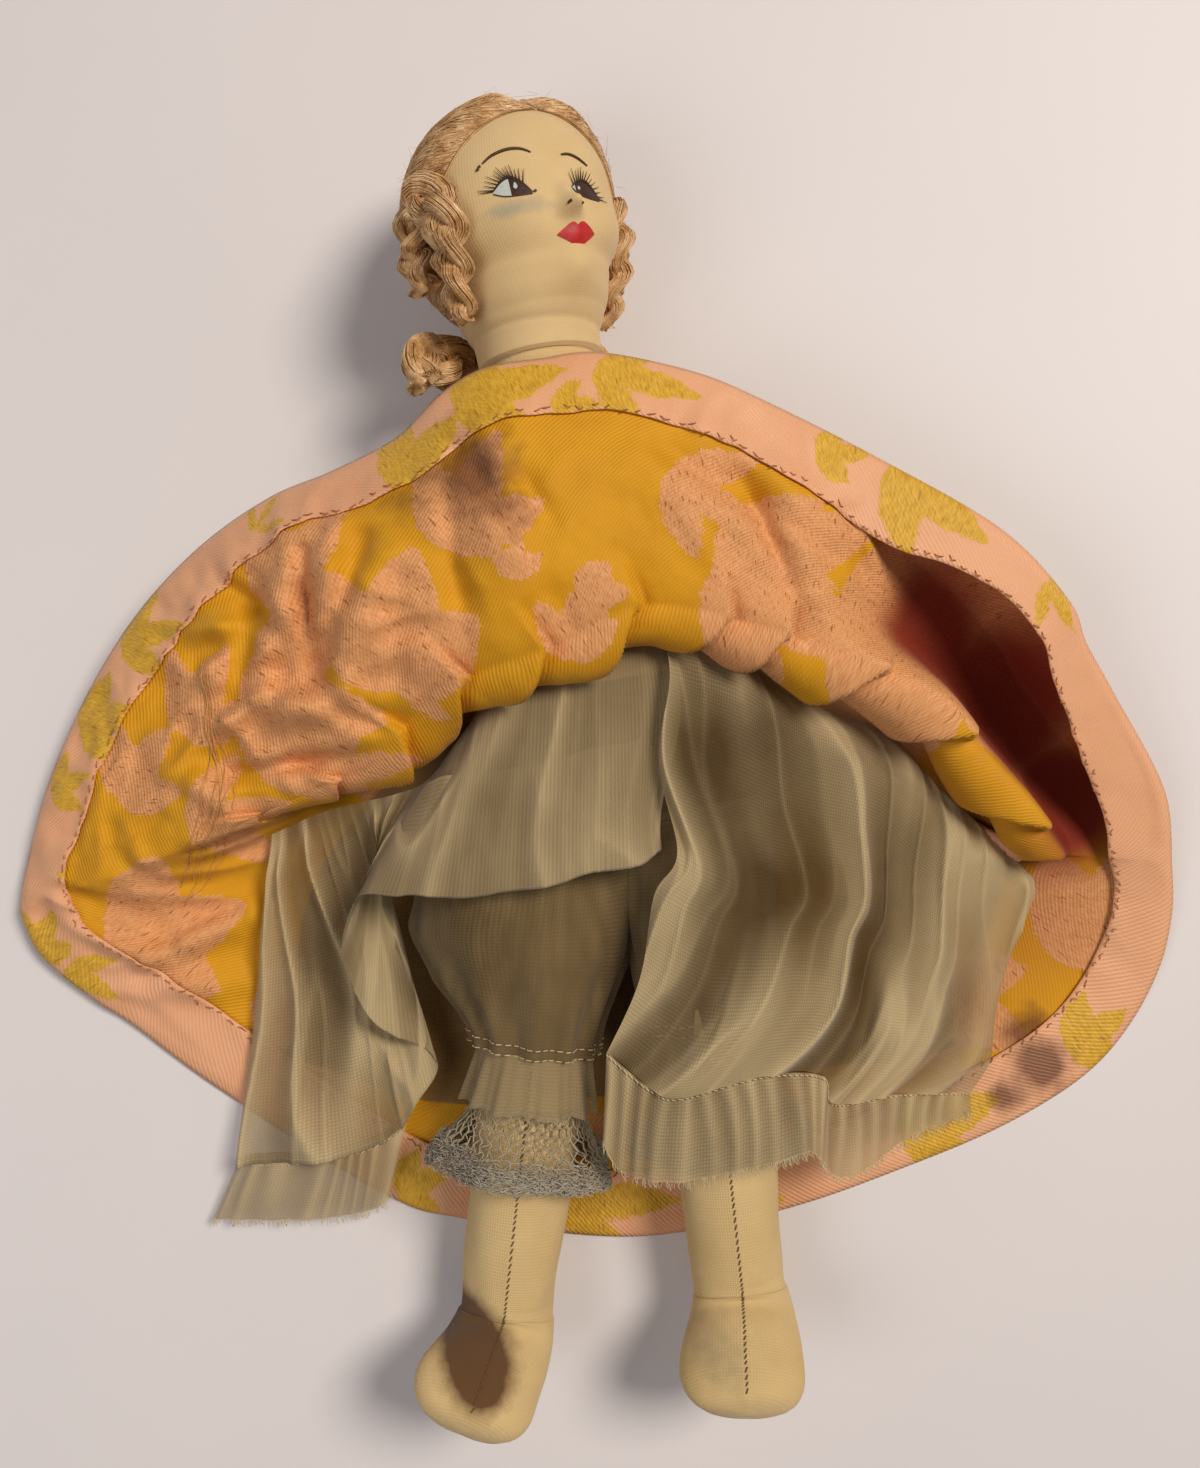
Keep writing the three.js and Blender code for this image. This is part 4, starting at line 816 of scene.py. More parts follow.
# Where a row of lashes starts and ends along the eye, and the way its first and last lash point, in
# degrees.
LASHES = 14
LASH_ROWS = {"near": (-0.02, 0.8, 178, 78), "far": (0.12, 1.0, 112, -8)}
lash_lines = []
for eye, rows in EYES.items():
    first, last, fan_from, fan_to = LASH_ROWS[eye]
    for k in range(LASHES):
        part = k / (LASHES - 1)
        x, lower, upper = keyed(rows, max(0, mix(first, last, part)))
        fan = radians(mix(fan_from, fan_to, part))
        way = Vector((cos(fan), sin(fan))) * (3.1 + 0.5 * sin(k * 2.1))
        lash_lines.append([on_face(x + way.x * s, upper + way.y * s + 0.35 * s * s, 0.3 + 0.25 * s)
                           for s in (0, 0.35, 0.7, 1)])
strands("painted_lashes", lash_lines, 0.18, eye_brown, "head", lambda s: 1.05 - 0.75 * s)
dots = []
for x, y in ((-8.0, -3.6), (-1.0, -8.3), (2.5, -8.8), (-19.4, 5.6), (-19.9, 4.9)):
    dots.append([on_face(x - 0.3, y - 0.15, 0.2), on_face(x, y + 0.1, 0.25), on_face(x + 0.3, y + 0.2, 0.2)])
strands("painted_dots", dots, 0.36, brow_brown, "head")
print("features painted:", len(lash_lines), "lashes")

# %% [markdown]
# ## Mohair
# The wig is combed mohair, a goat's fleece: fine, slightly wavy and silky, honey blond with darker roots.
# Bands of brightness run across many fibres at once, so the colour changes slowly in one noise and quickly
# in another. The mass of hair is a smooth cap behind the hairline. More than a thousand single fibres are
# combed back over it, and a few hundred stray ones stand off the outline, because a bare cap looks like
# plastic.

# %% Mohair material and cap
HAIR = 3.2
HAIRLINE_LEAN = 30
HAIRLINE_DEPTH = 7.8


# On the cap the colour is drawn out along the combing, which runs along the first direction of its UV map.
def mohair_material(name, pale, mid, dark, combed=False):
    finish, tree, shader, where = start_material(name)
    place = drawn_out(tree, where["UV"], (0.12, 1.6, 1)) if combed else where["Object"]
    locks = noisy(tree, place, 240.0, 3.0)
    fibre = noisy(tree, place, 1500.0, 2.0)
    ramp = add_node(tree, "ShaderNodeValToRGB", {"Fac": scaled_sum(tree, fibre, 0.45, locks)})
    stops = ramp.color_ramp.elements
    stops[0].position = 0.45
    stops[0].color = colour(dark)
    stops[1].position = 0.95
    stops[1].color = colour(pale)
    stops.new(0.68).color = colour(mid)
    surface(tree, shader, ramp.outputs["Color"], {"Roughness": 0.38, "Specular IOR Level": 0.55})
    return finish


mohair = mohair_material("Combed_mohair", "#efcd9c", "#cf9f66", "#966636")
cap_mohair = mohair_material("Mohair_cap", "#efcd9c", "#cf9f66", "#966636", combed=True)
dark_mohair = mohair_material("Mohair_roots", "#b98a52", "#946a3a", "#65441f")


def hairline(y):
    up = head_spread(y)[0]
    lean = radians(HAIRLINE_LEAN)
    line = (HAIRLINE_DEPTH + sin(lean) * y) / cos(lean)
    deep = head_depth(up, line > 0)
    return up, asin(min(1, max(-0.6, line / max(deep, 0.1))))


def hair_point(share, y, offset):
    up, start = hairline(y)
    return head_point(mix(start, -pi - start, share), up, offset)


def cap_point(u, v):
    y = -cos(mix(0.78, pi - 0.0004, v)) * HEAD_HEIGHT / 2
    edge = ease(0, 0.1, min(u, 1 - u))
    comb = 0.35 * sin(62 * v + 3 * sin(9 * u)) * edge
    return HEAD @ hair_point(u, y, mix(0.5, HAIR, edge) + comb)


bm = bent_grid(120, 110, cap_point, (150, 80), closed=True)
cap = finish_piece(bm, "wig_cap_hair", [cap_mohair], "head")
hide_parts("wig_cap")
thicken(cap, "hair_mass", 0.4)
print("wig cap", len(cap.data.polygons), "faces")

# %% [markdown]
# Fibres are combed from the hairline to the back. Each is a line over the cap with a small wave of its own.
# The strays leave the surface at their ends.

# %% Combed fibres and strays
COMBED_FIBRES = 1500
STRAY_FIBRES = 320
HAIR_TOP, HAIR_LOW, STRAY_LOW = 28.6, -21, -24
FIBRE_STEPS = 12
STRAY_STEPS = 7
ROOT_STEPS = 60
# Hair lies this high above the table at least.
HAIR_FLOOR = 0.4
comb_rng = random.Random(7)
combed = []
for k in range(COMBED_FIBRES):
    y = mix(-20, 28.4, comb_rng.random() ** 0.8)
    start = comb_rng.uniform(0.0, 0.25)
    if comb_rng.random() < 0.6:
        start = comb_rng.uniform(0, 0.04)
    run = comb_rng.uniform(0.18, 0.34)
    flip = comb_rng.random() < 0.5
    lift = HAIR + comb_rng.uniform(0.05, 0.75)
    sway = comb_rng.uniform(-2.2, 0.6)
    phase = comb_rng.uniform(0, 6.3)
    line = []
    for s in range(FIBRE_STEPS + 1):
        share = start + run * s / FIBRE_STEPS
        at = 1 - share if flip else share
        edge = ease(0, 0.1, share)
        wave = 0.35 * sin(5 * s / FIBRE_STEPS * 3.1 + phase)
        level = min(HAIR_TOP, max(HAIR_LOW, y + sway * s / FIBRE_STEPS + wave))
        line.append(HEAD @ hair_point(at, level, mix(0.6, lift, edge)))
    combed.append(line)
strands("combed_hair", combed, 0.12, mohair, "head", lambda s: 1.0 - 0.55 * s)
strays = []
for k in range(STRAY_FIBRES):
    y = mix(-20, 28, comb_rng.random())
    at = comb_rng.uniform(0.03, 0.97)
    drift = comb_rng.uniform(-0.09, 0.09)
    stand = comb_rng.uniform(1.0, 3.2)
    droop = comb_rng.uniform(-5, 1.5)
    line = []
    for s in range(STRAY_STEPS + 1):
        t = s / STRAY_STEPS
        level = min(HAIR_TOP, max(STRAY_LOW, y + droop * t))
        p = HEAD @ hair_point(clamp(at + drift * t), level, HAIR + 0.2 + stand * t * t)
        p.z = max(p.z, HAIR_FLOOR)
        line.append(p)
    strays.append(line)
strands("stray_hair", strays, 0.06, mohair, "head", lambda s: 1.0 - 0.6 * s)
roots = []
for side in (0.002, 0.998):
    levels = [-cos(mix(1.05, pi - 0.3, k / ROOT_STEPS)) * HEAD_HEIGHT / 2 for k in range(ROOT_STEPS + 1)]
    roots.append([HEAD @ hair_point(side, level, 0.55) for level in levels])
strands("hairline_edge", roots, 0.22, dark_mohair, "head")
print(len(combed), "combed fibres and", len(strays), "strays")

# %% [markdown]
# ## Plaits
# The plaits take the most skill on this doll: three locks of hair, each a bundle of fibres, pass over and
# under one another, and the plait is coiled over the ear. Each lock's middle follows a figure of eight
# across the plait, and its fibres are spread round that middle and twist a little as they go. The knot at
# the nape is the same, thicker.

# %% Plaits and nape knot
STRAND = 7.4
PLAIT_SPAN = 7.4
PLAIT_RISE = 4.2
PLAIT_TURNS = 2.4
BUN_STRAND = 8.6
# The path of a plait over its ear, from the side of the head outwards, and the path of the roll at the nape.
EAR_X = {"right": 31.5, "left": 29.5}
EAR_BACK = {"right": 0, "left": 6}
EAR_COIL = [(0, -19, 0), (0.5, -8, -1), (-0.5, 2, 6), (-2.5, -3, 13), (-3.5, -15, 12.5), (-7, -30, 6)]
NAPE_ROLL = [
    (-34, -43, -6), (-32, -35, -10), (-18, -33.5, -20), (0, -34, -23.5), (18, -34, -20), (26.5, -32, -11),
]


def plait_taper(at):
    return 0.55 + 0.45 * sin(pi * min(1, max(0.06, at)) ** 0.8)


# A lock of no thickness gives the middle lines of the three locks, for the core that the fibres lie on.
def plait_fibres(points, lock, span, rise, turns, outward, seed, per_lock, steps):
    rng = random.Random(seed)
    run = spaced(points)
    lines = []
    for which in range(3):
        for f in range(per_lock):
            ring = sqrt(rng.random()) if f % 3 else 1.0
            angle = rng.uniform(0, 2 * pi)
            twist = rng.uniform(0.5, 1.3)
            wander = rng.uniform(0, 6.3)
            line = []
            for s in range(steps + 1):
                at = s / steps
                phase = 2 * pi * (at * turns + which / 3)
                taper = plait_taper(at)
                centre = Vector(keyed(run, at))
                ahead = Vector(keyed(run, min(1, at + 0.01))) - Vector(keyed(run, max(0, at - 0.01)))
                normal = outward(centre)
                across = ahead.cross(normal).normalized()
                middle = centre + across * (span / 2 * taper * sin(phase))
                middle += normal * (rise / 2 * sin(2 * phase))
                turned = angle + twist * at * turns
                reach = lock / 2 * taper * ring * (1 + 0.06 * sin(9 * at + wander))
                off = across * (reach * cos(turned)) + normal * (reach * 0.9 * sin(turned))
                line.append(HEAD @ (middle + off))
            lines.append(line)
    return lines


def sideways(p):
    return Vector((p.x, 0, p.z * 0.35)).normalized()


def backward(p):
    return Vector((p.x * 0.8, 0, p.z)).normalized()


CORE_SHARE = 0.42
LOCK_FIBRES = 190
LOCK_STEPS = 40


def plait_pieces(name, points, strand, span, rise, turns, outward, seed, core_steps, radius, taper=None):
    lines = plait_fibres(points, strand, span, rise, turns, outward, seed, LOCK_FIBRES, LOCK_STEPS)
    piece = strands(name + "_hair", lines, radius, mohair, "head", taper)
    core = plait_fibres(points, 0, span, rise, turns, outward, seed, 1, core_steps)
    strands(name + "_core", core, strand * CORE_SHARE, mohair, "head", plait_taper)
    print(piece.name, len(lines), "fibres")
    return piece


for side, leg in LEGS.items():
    coil = [((EAR_X[side] + x) * leg["sign"], y, z - EAR_BACK[side]) for x, y, z in EAR_COIL]
    piece = plait_pieces(side + "_plait", coil, STRAND, PLAIT_SPAN, PLAIT_RISE, PLAIT_TURNS, sideways,
                         seed=11, core_steps=60, radius=0.14, taper=lambda s: 1.0 - 0.35 * s ** 6)
    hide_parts(side + "_plait")
knot = plait_pieces("nape_knot", NAPE_ROLL, BUN_STRAND, BUN_STRAND * 0.9, BUN_STRAND * 0.55, 2, backward,
                    seed=5, core_steps=56, radius=0.16)
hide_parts("nape_bun")

# %% [markdown]
# ## Brocade
# The skirt is a brocade: a figured cloth whose wrong side is a mustard-yellow twill with salmon leaves, and
# whose right side is a salmon sateen with gold leaves. The figure is the same on both sides with the
# colours changed over, so one painted attribute, the distance in millimetres to the edge of the nearest
# leaf, serves both. The shader cuts that distance at zero, after a noise as fine as the floating threads
# has made the edge ragged like a saw. Twill ribs are about 0.6 mm apart on the cloth. They are drawn 0.85
# mm apart, so that they show.

# %% Brocade materials
RAGGED = 1.1


def brocade_material(name, ground, ground_deep, figure, figure_deep, slit, gloss, rib_share):
    finish, tree, shader, where = start_material(name)
    cloth_uv = where["UV"]
    saw = noisy(tree, drawn_out(tree, cloth_uv, (1500, 330, 1)), 1.0, 3.0, Roughness=0.6)
    ragged = scaled_sum(tree, saw, RAGGED * 4, -RAGGED * 2)
    lobed = scaled_sum(tree, noisy(tree, cloth_uv, 260.0, 2.0), 3.2, -1.6)
    edge = add_node(tree, "ShaderNodeMath", {0: painted(tree, "leaf"), 1: ragged}, operation="ADD")
    shape = add_node(tree, "ShaderNodeMath", {0: edge.outputs[0], 1: lobed}, operation="ADD")
    inside = ranged(tree, shape.outputs[0], -0.15, 0.15)
    ground_tone = blended(tree, noisy(tree, cloth_uv, 45.0, 4.0), ground_deep, ground)
    figure_tone = blended(tree, ranged(tree, saw, 0.3, 0.62), figure_deep, figure)
    torn = noisy(tree, drawn_out(tree, cloth_uv, (900, 150, 1)), 1.0, 1.0)
    frayed = blended(tree, ranged(tree, torn, 0.66, 0.7, top=0.7), figure_tone, slit)
    cloth = blended(tree, inside, ground_tone, frayed)
    rib_feeds = {"Vector": cloth_uv, "Scale": bands(0.85), "Distortion": 0.6}
    twill = add_node(tree, "ShaderNodeTexWave", rib_feeds, bands_direction="DIAGONAL").outputs["Fac"]
    ribs = blended(tree, twill, (0.84, 0.82, 0.8, 1), (1.05, 1.05, 1.05, 1))
    ribbed = blended(tree, rib_share, cloth, ribs, "MULTIPLY")
    blot = noisy(tree, where["Object"], 190.0, 5.0)
    stain_and_shade_share = scaled_sum(tree, blot, 0.6, painted(tree, "stain_and_shade"))
    stain_and_shade_tone = blended(tree, ranged(tree, stain_and_shade_share, 0.5, 1.0, top=0.8), ribbed, "#5f2f12")
    # Painted shade: the skirt is darkened towards a deep red where a painted attribute marks its shaded
    # valley.
    valley_shaded_tone = blended(tree, painted(tree, "painted_valley_shade"), stain_and_shade_tone, "#7f1a04")
    raised = scaled_sum(tree, inside, 0.8, twill)
    bumped(tree, shader, scaled_sum(tree, saw, 1.4, raised), 0.4, 0.35)
    levels = {"Roughness": gloss, "Sheen Weight": 0.06, "Sheen Roughness": 0.5, "Specular IOR Level": 0.3}
    surface(tree, shader, valley_shaded_tone, levels)
    return finish


wrong_side = brocade_material("Brocade_wrong_side", "#e6a50c", "#cb8803", "#e9a76e", "#d0874a", "#8a4717",
                              gloss=0.62, rib_share=0.5)
right_side = brocade_material("Brocade_right_side", "#eeb287", "#e3a173", "#e2b038", "#c08c1c", "#a8741c",
                              gloss=0.48, rib_share=0.15)
print("brocade ready")

# %% [markdown]
# ## Skirt
# The skirt is one tube of cloth from the waist to a wide hem. Its back lies flat under the doll with the
# inside up. Its front has been folded up to the neck: it leaves the waist, comes forward, turns over in a
# soft roll and runs back up to the hem, so that the inside shows there too. A grid is carried along these
# runs. Every angle round the waist has a rib from the waist to the hem, and the ribs of the front and of the
# back pass smoothly into one another. The creases, the valley at the doll's left and the crumpled heap at its
# right are then set one by one, because a simulation would settle into other folds than the ones the
# photograph shows.

# %% Skirt measures
# The hem: across, along and height. Its front runs from the doll's left to its right, and its back returns.
FRONT_HEM = [
    (167, -10, 10), (162, 12, 16), (141, 41, 30), (131, 54, 37), (124, 66, 42), (104, 85, 46),
    (70, 104, 48), (37, 120, 50), (18, 127, 52), (-7, 131.5, 54), (-23, 129.5, 55), (-38, 127, 55),
    (-50, 121, 52), (-63, 110, 47), (-82, 102, 41), (-101, 96, 34), (-123, 83.5, 26), (-144, 65, 18),
    (-161, 42, 12), (-175, 14, 8), (-183, -13, 6), (-185, -26, 6),
]
BACK_HEM = [
    (-185, -26, 6), (-179, -40, 5), (-163, -54, 4), (-152, -61.5, 3), (-125, -82, 2), (-73.5, -114.5, 2),
    (-50, -122, 2), (-7, -127.5, 2), (21, -126, 2), (55, -118, 2), (86, -107, 2), (117, -94, 2),
    (142, -79, 2), (157, -63, 2), (166, -44, 4), (169, -26, 6), (167, -10, 10),
]
# Where the turned-up front rolls over: across, along, height of the roll's middle, and its radius.
ROLL = [
    (122, -30, 14, 4), (120, -11, 23, 7), (112, -2, 27, 9), (94, 16, 32, 10), (78, 31, 37, 11),
    (49, 42, 44, 11), (30, 49, 50, 10), (7, 54, 55, 9), (-12, 44.5, 56, 9), (-37, 37, 52, 9),
    (-48, 31, 46, 9), (-60, 17, 36, 9), (-83, 10, 28, 8), (-108, 0, 20, 8), (-114, -22, 12, 4),
]
WAIST = (-10.4, 59.1, 25.2)
WAIST_HALF = (31.5, 20.2)
# From the doll's left to its right: how far the turned-up front swells, and how high the valley's floor lies.
DOME = [
    (0, -3), (0.12, -2), (0.25, -3), (0.36, 3), (0.5, 8), (0.6, 13), (0.7, 10), (0.8, 5), (0.9, 3), (1, 1),
]
VALLEY_FLOOR = [(0, 10), (0.06, 7), (0.14, 8), (0.2, 13), (0.25, 24), (0.31, 38), (1, 38)]
# Shares of the roll, from the doll's left to its right, where one wrap of cloth laps over the next.
WRAPS = [-0.12, 0.0, 0.1, 0.215, 0.32, 0.415, 0.475, 0.56, 0.655, 0.735, 0.82, 0.91, 1.0, 1.12]
# Ridges and hollows of the turned-up front: two ends, width and height.
RIDGES = [
    (4, 100, 45, 74, 6, 3.5), (20, 110, 64, 80, 5, 3.5), (10, 103, 55, 75, 4, -3.5), (28, 92, 60, 70, 3, 3),
    (-18, 64, -8, 42, 3, -3.5), (-6, 68, 6, 46, 5, 2.5), (-64, 76, -76, 38, 5, 5),
    (-70, 80, -84, 44, 3.5, -6), (-90, 82, -96, 52, 6, 5), (-103, 72, -110, 40, 5, -5),
    (-100, 30, -78, 40, 5, 6), (-78, 42, -52, 34, 5, 5), (-76, 33, -52, 26, 3, -5),
    (-108, 20, -86, 26, 4, 5), (-86, 24, -62, 24, 4, 4), (-122, 56, -108, 34, 5, 4),
    (-128, 18, -112, 6, 5, 5), (-44, 104, -30, 84, 4, -4), (-52, 96, -44, 74, 4, 3),
    (-30, 100, -20, 84, 3, -3), (-48, 92, -42, 54, 3.5, -5), (-36, 98, -30, 62, 7, 4),
    (-88, 78, -86, 48, 2.6, -8), (-78, 82, -76, 52, 6, 6), (-118, 27, -100, 40, 4, 6),
    (-100, 40, -70, 28, 4, 6), (-112, 17, -58, 25, 2.6, -7), (-122, 66, -104, 50, 4, 5),
    (-116, 74, -98, 60, 3, -5), (14, 88, 30, 62, 4, 3), (40, 98, 52, 66, 5, 3.5),
    (32, 96, 44, 68, 2.6, -4.5), (66, 84, 78, 62, 4, 3.5), (60, 88, 70, 64, 2.6, -4),
]
# The same on the back of the skirt, where it lies in a heap at the doll's right.
BACK_RIDGES = [
    (-168, -20, -142, -38, 5, 9),
    (-142, -38, -114, -27, 5, 9),
    (-160, -17, -137, -31, 3, -5),
    (-137, -31, -114, -15, 3, -5),
    (-150, -50, -118, -48, 5, 6),
]
HEM_RIM = {"front": spaced(FRONT_HEM), "back": spaced(BACK_HEM)}
ROLL_LENGTHS = spaced([(x, y) for x, y, z, r in ROLL[1:-1]])
# The first and last points of the roll stand past its ends, by this share of its length.
ROLL_PAST = 0.12
ROLL_RUN = [(-ROLL_PAST, *ROLL[0])]
ROLL_RUN += [(row[0], *full) for row, full in zip(ROLL_LENGTHS, ROLL[1:-1])]
ROLL_RUN += [(1 + ROLL_PAST, *ROLL[-1])]
ARC_START, ARC_END = 0.2, 0.34
# The cloth lies this high at least, so that it stays clear of the table.
CLOTH_FLOOR = 0.9


def ridge(x, y, x0, y0, x1, y1, width, height):
    run = Vector((x1 - x0, y1 - y0))
    off = Vector((x - x0, y - y0))
    share = clamp(off.dot(run) / run.length_squared)
    away = (off - run * share).length
    return height * exp(-(away / width) ** 2) * (0.35 + 0.65 * sin(pi * min(0.9, max(0.1, share))))


# One lap of cloth over the next: a quick rise at the edge of a wrap, then a slow fall to the next edge.
def lap(share):
    k = next(i for i in range(1, len(WRAPS)) if share < WRAPS[i])
    part = (share - WRAPS[k - 1]) / (WRAPS[k] - WRAPS[k - 1])
    return ease(0, 0.08, part) * (1 - part) ** 0.7


def crumple(x, y, size, seed):
    warp = hills(x / size * 0.6, y / size * 0.6, seed + 9)
    sharp = 1 - 2 * abs(hills(x / size + warp, y / size - warp, seed))
    fine = hills(x / size * 2.3, y / size * 2.3 + warp, seed + 4)
    return sharp * 0.75 + fine * 0.35


# Keeps a share just inside the run of the roll.
def on_roll(share):
    return min(1 + ROLL_PAST - 0.001, max(0.001 - ROLL_PAST, share))


def roll_at(share):
    x, y, z, r = keyed(ROLL_RUN, share)
    return Vector((x, y)), z, r


def front_share(around):
    if around <= 0.5:
        return around * 2
    return 1 + (around - 0.5) * 2 if around < 0.75 else -(1 - around) * 2


def hem_at(around):
    if around <= 0.5:
        return Vector(keyed(HEM_RIM["front"], around * 2))
    return Vector(keyed(HEM_RIM["back"], around * 2 - 1))


def waist_at(around):
    angle = 2 * pi * around
    ring = Vector((cos(angle) * WAIST_HALF[0], 0, sin(angle) * WAIST_HALF[1]))
    return BODY.to_3x3() @ ring + Vector(WAIST)


def panel_height(share, t, x, y, top, hem_height):
    s = clamp(share)
    z = mix(top, hem_height, t) + keyed(DOME, s)[0] * sin(pi * min(1, t)) ** 0.9
    folds = sin(pi * clamp(t)) ** 0.5
    z += folds * sum(ridge(x, y, *row) for row in RIDGES)
    rough = 1.2 + 4.2 * ease(0.6, 0.74, s)
    z += rough * folds * crumple(x, y, 16, 2.0) + 0.35 * folds * crumple(x, y, 6, 5.0)
    hollow = ease(0.0, 0.3, t) * (1 - ease(0.66, 0.94, t)) * (1 - ease(0.26, 0.34, s))
    return mix(z, keyed(VALLEY_FLOOR, s)[0], hollow)


def front_path(around, v):
    share = on_roll(front_share(around))
    edge, z, r = roll_at(share)
    hem = hem_at(around)
    waist = waist_at(around)
    inward = (hem.to_2d() - edge).normalized()
    angle = pi * (clamp((v - ARC_START) / (ARC_END - ARC_START)) - 0.5)
    wrap = lap(on_roll(share + 0.035 * angle)) - 0.45
    bulge = r * (1 + 0.85 * wrap)
    if v <= ARC_START:
        under = edge + inward * r
        p = waist.lerp(Vector((under.x, under.y, z - r)), v / ARC_START)
        p.z += 2 * sin(pi * v / ARC_START)
        return p
    if v <= ARC_END:
        place = edge + inward * (r - bulge * cos(angle))
        place += Vector((inward.y, -inward.x)) * (0.5 * crumple(place.x, place.y, 9, 1.0))
        return Vector((place.x, place.y, z + bulge * sin(angle)))
    t = (v - ARC_END) / (1 - ARC_END)
    top = edge + inward * r
    place = top.lerp(hem.to_2d(), t)
    swollen = (bulge - r) * (1 - ease(0, 0.22, t))
    height = panel_height(share, t, place.x, place.y, z + r, hem.z) + swollen
    return Vector((place.x, place.y, height))


def back_path(around, v):
    hem = hem_at(around)
    waist = waist_at(around)
    p = waist.lerp(hem, v)
    floor = CLOTH_FLOOR + max(0, hem.z - 2) * v ** 3
    p.z = mix(waist.z, floor, ease(0, 0.12, v))
    left = ease(-60, -130, p.x) * (1 - 0.9 * spot(p.x, p.y, -95, -55, 45))
    p.z += max(0, crumple(p.x, p.y, 20, 7.0) + 0.35) * (1.2 + 5.5 * left) * sin(pi * v ** 1.6)
    p.z += max(0, sum(ridge(p.x, p.y, *row) for row in BACK_RIDGES)) * ease(1, 0.86, v)
    return p


def skirt_point(around, v):
    share = front_share(around)
    turned_up = ease(-ROLL_PAST, 0.02, share) * (1 - ease(0.98, 1 + ROLL_PAST, share))
    p = back_path(around, v).lerp(front_path(around, v), turned_up)
    p.z = max(p.z, CLOTH_FLOOR)
    return p


# %% [markdown]
# The figures of the brocade are laid out on the folded skirt as the photograph shows them: middle, half
# length, half width of a leaf, and turn. Away from the picture the same layout serves the other side of the
# cloth.

# %% Leaves on the skirt, and the skirt itself
SALMON_LEAVES = [
    (-59, 59, 19, 13, 80), (-87, 76, 17, 10, 50), (-86, 34, 22, 12, -5), (-39, 92, 17, 8, 70),
    (-13, 58, 10, 5, 80), (24, 89, 15, 6, -30), (41, 75, 18, 6, -25), (50, 59, 30, 11, -22),
    (73, 45, 17, 9, -38), (-119, 41, 15, 7, 60), (-134, -31, 21, 12, 20), (152, -22, 24, 13, 70),
    (108, 46, 48, 25, -52), (-6, 65, 7, 5, 0), (-92, 52, 10, 5, 30), (-50, 41, 9, 3, 10),
    (-71, 19, 15, 5, 10), (-110, 5, 16, 6, 15), (-20, -95, 22, 10, 0), (60, -90, 22, 10, 10),
    (-90, -60, 24, 11, 40), (110, -60, 20, 10, -30), (0, -40, 24, 12, 30), (-140, 20, 14, 7, 50),
    (-28, 74, 6, 3, 90),
]
# Each figure is a sprig of three pointed leaves that spread from one foot. A leaf has its swing from the
# figure's turn, in degrees, and its share of the length.
SPRIG = [(-42, 0.8), (0, 1.0), (40, 0.85)]
NO_LEAF = -12.0
LEAF_REACH = 3.2
LEAF_FULLNESS = 0.85


def leaf_distance(leaves, x, y):
    nearest = NO_LEAF
    for cx, cy, long, wide, turn in leaves:
        aim = radians(turn)
        off = Vector((x - cx + long * cos(aim), y - cy + long * sin(aim)))
        if off.length > LEAF_REACH * long:
            continue
        for swing, share in SPRIG:
            way = Vector((cos(aim + radians(swing)), sin(aim + radians(swing))))
            along = off.dot(way) / (2 * long * share)
            across = abs(off.x * way.y - off.y * way.x)
            half = wide * LEAF_FULLNESS * sin(pi * clamp(along) ** 0.8) ** 0.75
            past = 2 * long * max(0, -along, along - 1)
            nearest = max(nearest, half - across - past)
    return nearest


# The grid is finer over the turned-up front and its roll, where the creases are sharp.
COLUMNS = [(0, 0), (0.68, 0.5), (1, 1)]
ROWS = [(0, 0), (0.05, ARC_START), (0.34, ARC_END), (1, 1)]


def straight(knots, at):
    i = next(k for k in range(1, len(knots)) if at <= knots[k][0] + 1e-6)
    (a, p), (b, q) = knots[i - 1], knots[i]
    return mix(p, q, (at - a) / (b - a))


SKIRT_AROUND, SKIRT_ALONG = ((400, 110))
SKIRT_FLAT = (940, 187)
bm = bent_grid(SKIRT_AROUND, SKIRT_ALONG, skirt_point, SKIRT_FLAT, closed=True,
               spread=lambda u, v: (straight(COLUMNS, u), straight(ROWS, v)))
turn_up(bm)
skirt = finish_piece(bm, "brocade_skirt", [wrong_side, right_side], "torso")
paint(skirt, "leaf", lambda x, y, z: leaf_distance(SALMON_LEAVES, x, y))
SKIRT_STAINS = [
    (0.75, -40, 98, 13), (0.4, -30, 84, 8), (0.9, 126, -64, 8), (0.5, 92, 80, 9), (0.35, -60, 90, 10),
]
paint_spots(skirt, "stain_and_shade", SKIRT_STAINS)
# Painted shade: deep in the valley, and a little at the lower right of the skirt, the cloth is darkened
# towards a deep red, where it lies in shade.
VALLEY_SPOTS = [(86, 56, 26), (112, 36, 30), (134, 8, 22)]


def painted_valley_shade(x, y, z):
    deep = max(spot(x, y, *where) for where in VALLEY_SPOTS)
    return 0.95 * ease(0.1, 0.75, deep) * ease(44, 26, z) + 0.3 * spot(x, y, 128, -34, 22)


paint(skirt, "painted_valley_shade", painted_valley_shade)
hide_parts("skirt")
thicken(skirt, "cloth_thickness", 0.5, back=1, rim=1)
print("skirt", len(skirt.data.polygons), "faces, cut", SKIRT_FLAT, "mm")

# %% [markdown]
# ## Hem facing
# Along the hem the cloth is turned in, so its right side shows as a band: salmon with gold sprigs, held by
# a row of uneven rust-brown stitches. It lies on the skirt, except at the doll's left, where it stands over
# the valley.

